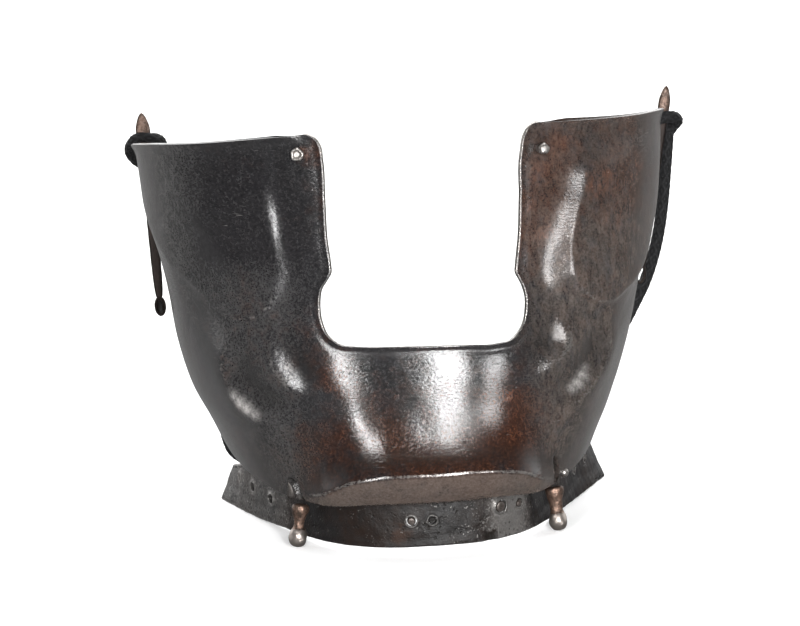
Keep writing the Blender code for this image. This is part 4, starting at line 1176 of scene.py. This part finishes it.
iron = Finish(finishes["face_iron"])
worn, hollow, rust, russet, grey_and_sheen, matt, facet, outer, painted_highlight = (iron.mark(name) for name in (
    "worn", "hollow", "rust", "russet", "grey_and_sheen", "matt", "facet", "outer", "painted_highlight"))
cloud = iron.noise(17.0, 4.0, 0.6)
mottle = iron.noise(3.2, 5.0, 0.62, wander=0.4)
speck = iron.noise(0.75, 3.0, 0.6)
grain = iron.noise(0.50, 2.0, 0.6, iron.place((0.40, 1.0, 1.0), uv=True), wander=0.8)
streak = iron.noise(1.8, 5.0, 0.70, iron.place((1.0, 1.0, 0.45)), wander=0.6).over(0.30, 0.74)
fine = (speck * 0.5 + iron.noise(0.42, 4.0, 0.7) * 0.5).over(0.36, 0.68)
pit = iron.pits(1.5).over(0.30, 0.12) * iron.noise(6.0, 2.0).over(0.54, 0.70)
scratches = iron.noise(0.5, 2.0, 0.5, iron.place((0.10, 1.0, 1.0), uv=True)).over(0.63, 0.72)
scratches = scratches * iron.noise(9.0, 2.0).over(0.48, 0.62)

brown = (russet + (cloud - 0.5) * 1.1 + (mottle - 0.5) * 1.2).over(0.22, 0.92)
orange = (rust + (mottle - 0.5) * 1.1 + russet * 0.22 + (streak - 0.5) * 0.35).over(0.42, 0.98)
bluish = iron.noise(3.2, 5.0, 0.70, iron.place((1.0, 1.0, 0.5), (0.3, 0.1, 0.2)), wander=0.5).over(0.46, 0.74)
rubbed = (worn * (0.55 + 0.6 * fine) + (speck - 0.5) * 0.4 * (1.0 - worn) + scratches * 0.40).over(0.28, 0.95)

dark = fine.tint(shade(0.0026, 0.0025, 0.0031), shade(0.018, 0.017, 0.0175))
# Painted sheen: a textured grey reflection painted on the outer cheeks.
painted_sheen = outer * (mottle.over(0.30, 0.70) * 0.45 + fine * 0.75) * 0.85
dark = painted_sheen.clamped().tint(dark, shade(0.062, 0.060, 0.059))
earth = fine.tint(shade(0.008, 0.0028, 0.0016), shade(0.036, 0.0135, 0.007))
colour = brown.tint(dark, earth)
colour = (grey_and_sheen * (0.2 + 0.6 * streak) * (0.5 + 0.5 * fine)).tint(colour, shade(0.098, 0.080, 0.068))
colour = (bluish * (0.10 + 0.30 * grey_and_sheen)).tint(colour, shade(0.044, 0.046, 0.050))
colour = (orange * (0.35 + 0.65 * streak) * (0.4 + 0.6 * fine)).tint(colour, shade(0.085, 0.028, 0.011))
# Painted reflection: the facet under the chin's ridge is made paler, as the pale floor would show in it.
colour = (facet * (0.15 + 0.60 * mottle + 0.35 * fine)).tint(colour, shade(0.076, 0.060, 0.051))
# Painted highlights on the flanks of the two large folds.
colour = (painted_highlight * (0.35 + 0.65 * fine)).tint(colour, shade(0.42, 0.40, 0.385))
colour = (rubbed * 0.85).tint(colour, shade(0.30, 0.285, 0.27))
colour = (pit * 0.5).tint(colour, shade(0.006, 0.005, 0.004))
# Painted shade: near black in the fold grooves, the slits, the lip's groove, the band above the chin's ridge
# and a spot by the right stud.
colour = (hollow * 0.75).clamped().tint(colour, shade(0.004, 0.0035, 0.003))
metal = (0.06 + 0.14 * grey_and_sheen * (1.0 - brown) + rubbed - 0.5 * orange).clamped()
roughness = 0.165 + 0.05 * (mottle - 0.5) + 0.12 * (speck - 0.5) + 0.12 * orange + 0.10 * hollow + 0.16 * matt
roughness = roughness.clamped()
small = mottle * 0.05 + speck * 0.09 + grain * 0.22 - scratches * 0.10
relief_bump = iron.bump(small * (1.0 + 1.8 * outer) - pit * 0.15, 0.30, 0.62)
iron.set(Base_Color=colour, Metallic=metal, Roughness=roughness, IOR=1.5, Normal=relief_bump)

# %% Plate iron, darker and more pitted
iron = Finish(finishes["plate_iron"])
worn, hollow, rust, russet = (iron.mark(name) for name in ("worn", "hollow", "rust", "russet"))
cloud, mottle = iron.noise(9.0, 4.0, 0.65), iron.noise(2.2, 5.0, 0.65, wander=0.5)
speck = iron.noise(0.6, 3.0, 0.6)
pit = iron.pits(1.2).over(0.38, 0.12) * iron.noise(4.0, 2.0).over(0.46, 0.60)
streaks = iron.noise(0.9, 3.0, 0.6, iron.place((1.0, 1.0, 0.12))).over(0.52, 0.72)
brown = (russet + (cloud - 0.5) * 1.0 + (mottle - 0.5) * 0.8).over(0.2, 0.9)
orange = (rust + (mottle - 0.5) * 1.0 + (speck - 0.5) * 0.6).over(0.35, 0.95)
flecks = speck.over(0.56, 0.70) * iron.noise(3.5, 4.0, 0.6).over(0.45, 0.62)
rubbed = (worn * (0.6 + 0.6 * mottle) + flecks * (0.8 + worn) + (speck - 0.5) * 0.5).over(0.30, 0.95)
colour = brown.tint(shade(0.009, 0.0085, 0.0088), shade(0.013, 0.0075, 0.0055))
colour = (orange * 0.7).tint(colour, shade(0.034, 0.014, 0.007))
colour = (rubbed * 0.8).tint(colour, shade(0.26, 0.25, 0.24))
colour = (pit * 0.75).tint(colour, shade(0.006, 0.005, 0.004))
# Darker in the spalled bite and towards the middle, and painted shade on the dark discs in three holes.
colour = (hollow * 0.8).tint(colour, shade(0.006, 0.005, 0.004))
roughness = (0.34 + 0.2 * (mottle - 0.3) + 0.14 * (speck - 0.5) + 0.12 * orange).clamped()
relief = cloud * 0.15 + mottle * 0.35 + speck * 0.35 + streaks * 0.05 - pit * 0.3
iron.set(Base_Color=colour, Metallic=(0.85 * rubbed - 0.3 * orange).clamped(), IOR=1.5,
         Specular_IOR_Level=0.16, Roughness=roughness, Normal=iron.bump(relief, 0.42, 0.85))

# %% Brown forged fittings, bright at the rubbed ends
iron = Finish(finishes["brown_iron"])
worn, dull = iron.mark("worn"), iron.mark("dull")
cloud, mottle, speck = iron.noise(4.0, 3.0, 0.6), iron.noise(1.1, 4.0, 0.6), iron.noise(0.4, 2.0, 0.6)
rubbed = (worn * 0.9 + (mottle - 0.5) * 1.1 + (speck - 0.5) * 0.5).over(0.16, 0.8)
colour = (cloud + (mottle - 0.5) * 1.2 + (speck - 0.5) * 0.6).over(0.32, 0.68)
colour = colour.tint(shade(0.075, 0.052, 0.041), shade(0.21, 0.135, 0.102))
colour = rubbed.tint(colour, shade(0.34, 0.30, 0.275))
colour = (dull * 0.96).tint(colour, shade(0.016, 0.013, 0.012))
iron.set(Base_Color=colour, Metallic=(0.85 + 0.1 * rubbed).clamped(),
         Roughness=(0.36 + 0.14 * mottle - 0.1 * rubbed).clamped(),
         Normal=iron.bump(mottle * 0.8 + speck * 0.3, 0.22, 0.8))

# %% Bright iron, rubbed and scratched
iron = Finish(finishes["bright_iron"])
shank, dull = iron.mark("shank"), iron.mark("dull")
mottle, speck = iron.noise(1.0, 4.0, 0.6), iron.noise(0.35, 2.0, 0.6)
colour = (mottle + (speck - 0.5) * 0.5).over(0.3, 0.7)
colour = colour.tint(shade(0.12, 0.105, 0.095), shade(0.42, 0.40, 0.38))
colour = (shank * 0.8).tint(colour, shade(0.030, 0.018, 0.013))
colour = (dull * 0.85).tint(colour, shade(0.050, 0.044, 0.041))
iron.set(Base_Color=colour, Metallic=(0.95 - 0.3 * shank).clamped(), Roughness=0.26 + 0.2 * mottle,
         Normal=iron.bump(mottle * 0.6 + speck * 0.3, 0.14, 0.7))

# %% Black braid
braided = Finish(finishes["black_braid"])
fibre = braided.noise(0.22, 2.0, 0.6)
dust = braided.noise(1.3, 3.0, 0.6)
colour = (fibre * 0.8 + dust * 0.2).over(0.47, 0.70)
colour = colour.tint(shade(0.003, 0.003, 0.0035), shade(0.040, 0.040, 0.043))
# Painted shade: the braid is near black where its strands lie low, between them.
colour = braided.mark("lift").over(0.35, 0.95).tint(shade(0.0015, 0.0015, 0.0018), colour)
braided.set(Base_Color=colour, Roughness=0.62 + 0.2 * dust, Normal=braided.bump(fibre, 0.10, 0.8),
            Specular_IOR_Level=0.3)

# %% [markdown]
# ## Floor and lights
# The mask stands on a plain white floor, which is given darker to reflections, so that the wax keeps its
# depth. Wax shows the lights as much as the iron, so they are narrow and stand close in front: one to the
# left and one to the right of the camera draw the streaks down cheeks and chin, and a lower one further
# round finds the right cheek's folds. A wide light high behind whitens the floor and leaves the band over
# the chin's ridge dark, where painted shade in the iron darkens it further. The room is dim in front and
# bright behind, which shows in the rims that turn away from the camera.

# %% Floor
turn = np.arange(96) * 2 * math.pi / 96
disc = bpy.data.meshes.new("floor")
disc.from_pydata([(4.0 * math.cos(t), 4.0 * math.sin(t), 0.0) for t in turn], [], [tuple(range(96))])
floor = bpy.data.objects.new("floor", disc)
bpy.context.scene.collection.objects.link(floor)
floor_paint = bpy.data.materials.new("floor_paint")
paint = Finish(floor_paint)
mirrored = paint.start.add("ShaderNodeLightPath", {}, {}, "Is Glossy Ray")
watched = paint.start.add("ShaderNodeLightPath", {}, {}, "Is Camera Ray")
paint.set(Base_Color=mirrored.tint(shade(0.9, 0.9, 0.9), shade(0.16, 0.16, 0.16)), Roughness=0.9,
          Specular_IOR_Level=0.1, Emission_Color=watched.tint(shade(0.0, 0.0, 0.0), shade(0.16, 0.16, 0.16)),
          Emission_Strength=1.0)
disc.materials.append(floor_paint)


# %% Lights
def soft_light(name, azimuth, elevation, away, wide, tall, radiance, aim=(0.0, 0.0, 45.0)):
    """A rectangle of light round and above the mask, turned to face it. Power = pi * area * radiance."""
    a, e = math.radians(azimuth), math.radians(elevation)
    back = np.array([math.sin(a) * math.cos(e), -math.cos(a) * math.cos(e), math.sin(e)])
    side = np.array([math.cos(a), math.sin(a), 0.0])
    data = bpy.data.lights.new(name, "AREA")
    data.shape, data.size, data.size_y = "RECTANGLE", wide, tall
    data.energy = math.pi * wide * tall * radiance
    lamp = bpy.data.objects.new(name, data)
    turn = np.eye(4)
    turn[:3, 0], turn[:3, 1], turn[:3, 2] = side, np.cross(back, side), back
    turn[:3, 3] = placed(aim) + back * away
    lamp.matrix_world = Matrix(turn.tolist())
    lamp.visible_camera = False
    bpy.context.scene.collection.objects.link(lamp)
    print(name, "stands at", turn[:3, 3].round(2), f"and gives {data.energy:.1f} W")


LIGHTS = (  # name, azimuth and elevation, metres away, width and height in metres, radiance
    ("left_soft_light", -23.5, 11.7, 0.46, 0.026, 0.272, 58.0),
    ("right_soft_light", 8.5, 11.7, 0.46, 0.041, 0.272, 66.0),
    ("right_narrow_light", 27, 3.4, 0.46, 0.050, 0.140, 26.0),
    ("top_light", 180, 58, 1.9, 2.4, 2.4, 3.2),
)
for light in LIGHTS:
    soft_light(*light)

# %% Room
world = bpy.data.worlds.new("pale_room")
bpy.context.scene.world = world
world.use_nodes = True
room = Wire(world.node_tree)
way = room.add("ShaderNodeTexCoord", {}, {}, "Generated")
ahead = room.add("ShaderNodeSeparateXYZ", {}, {"Vector": way}, "Y")
height = room.add("ShaderNodeSeparateXYZ", {}, {"Vector": way}, "Z")
aside = room.add("ShaderNodeSeparateXYZ", {}, {"Vector": way}, "X")
behind = (ahead + aside * 0.05).over(-0.45, 0.80)
bright = 0.13 + 2.1 * behind * (1.0 - 0.5 * height.over(0.2, 0.9))
seen = room.add("ShaderNodeLightPath", {}, {}, "Is Camera Ray")
background = world.node_tree.nodes["Background"]
world.node_tree.links.new(bright.at_least(seen * 0.97).socket, background.inputs["Strength"])
background.inputs["Color"].default_value = shade(1.0, 1.0, 1.0)
bpy.context.scene.view_settings.view_transform = "Standard"
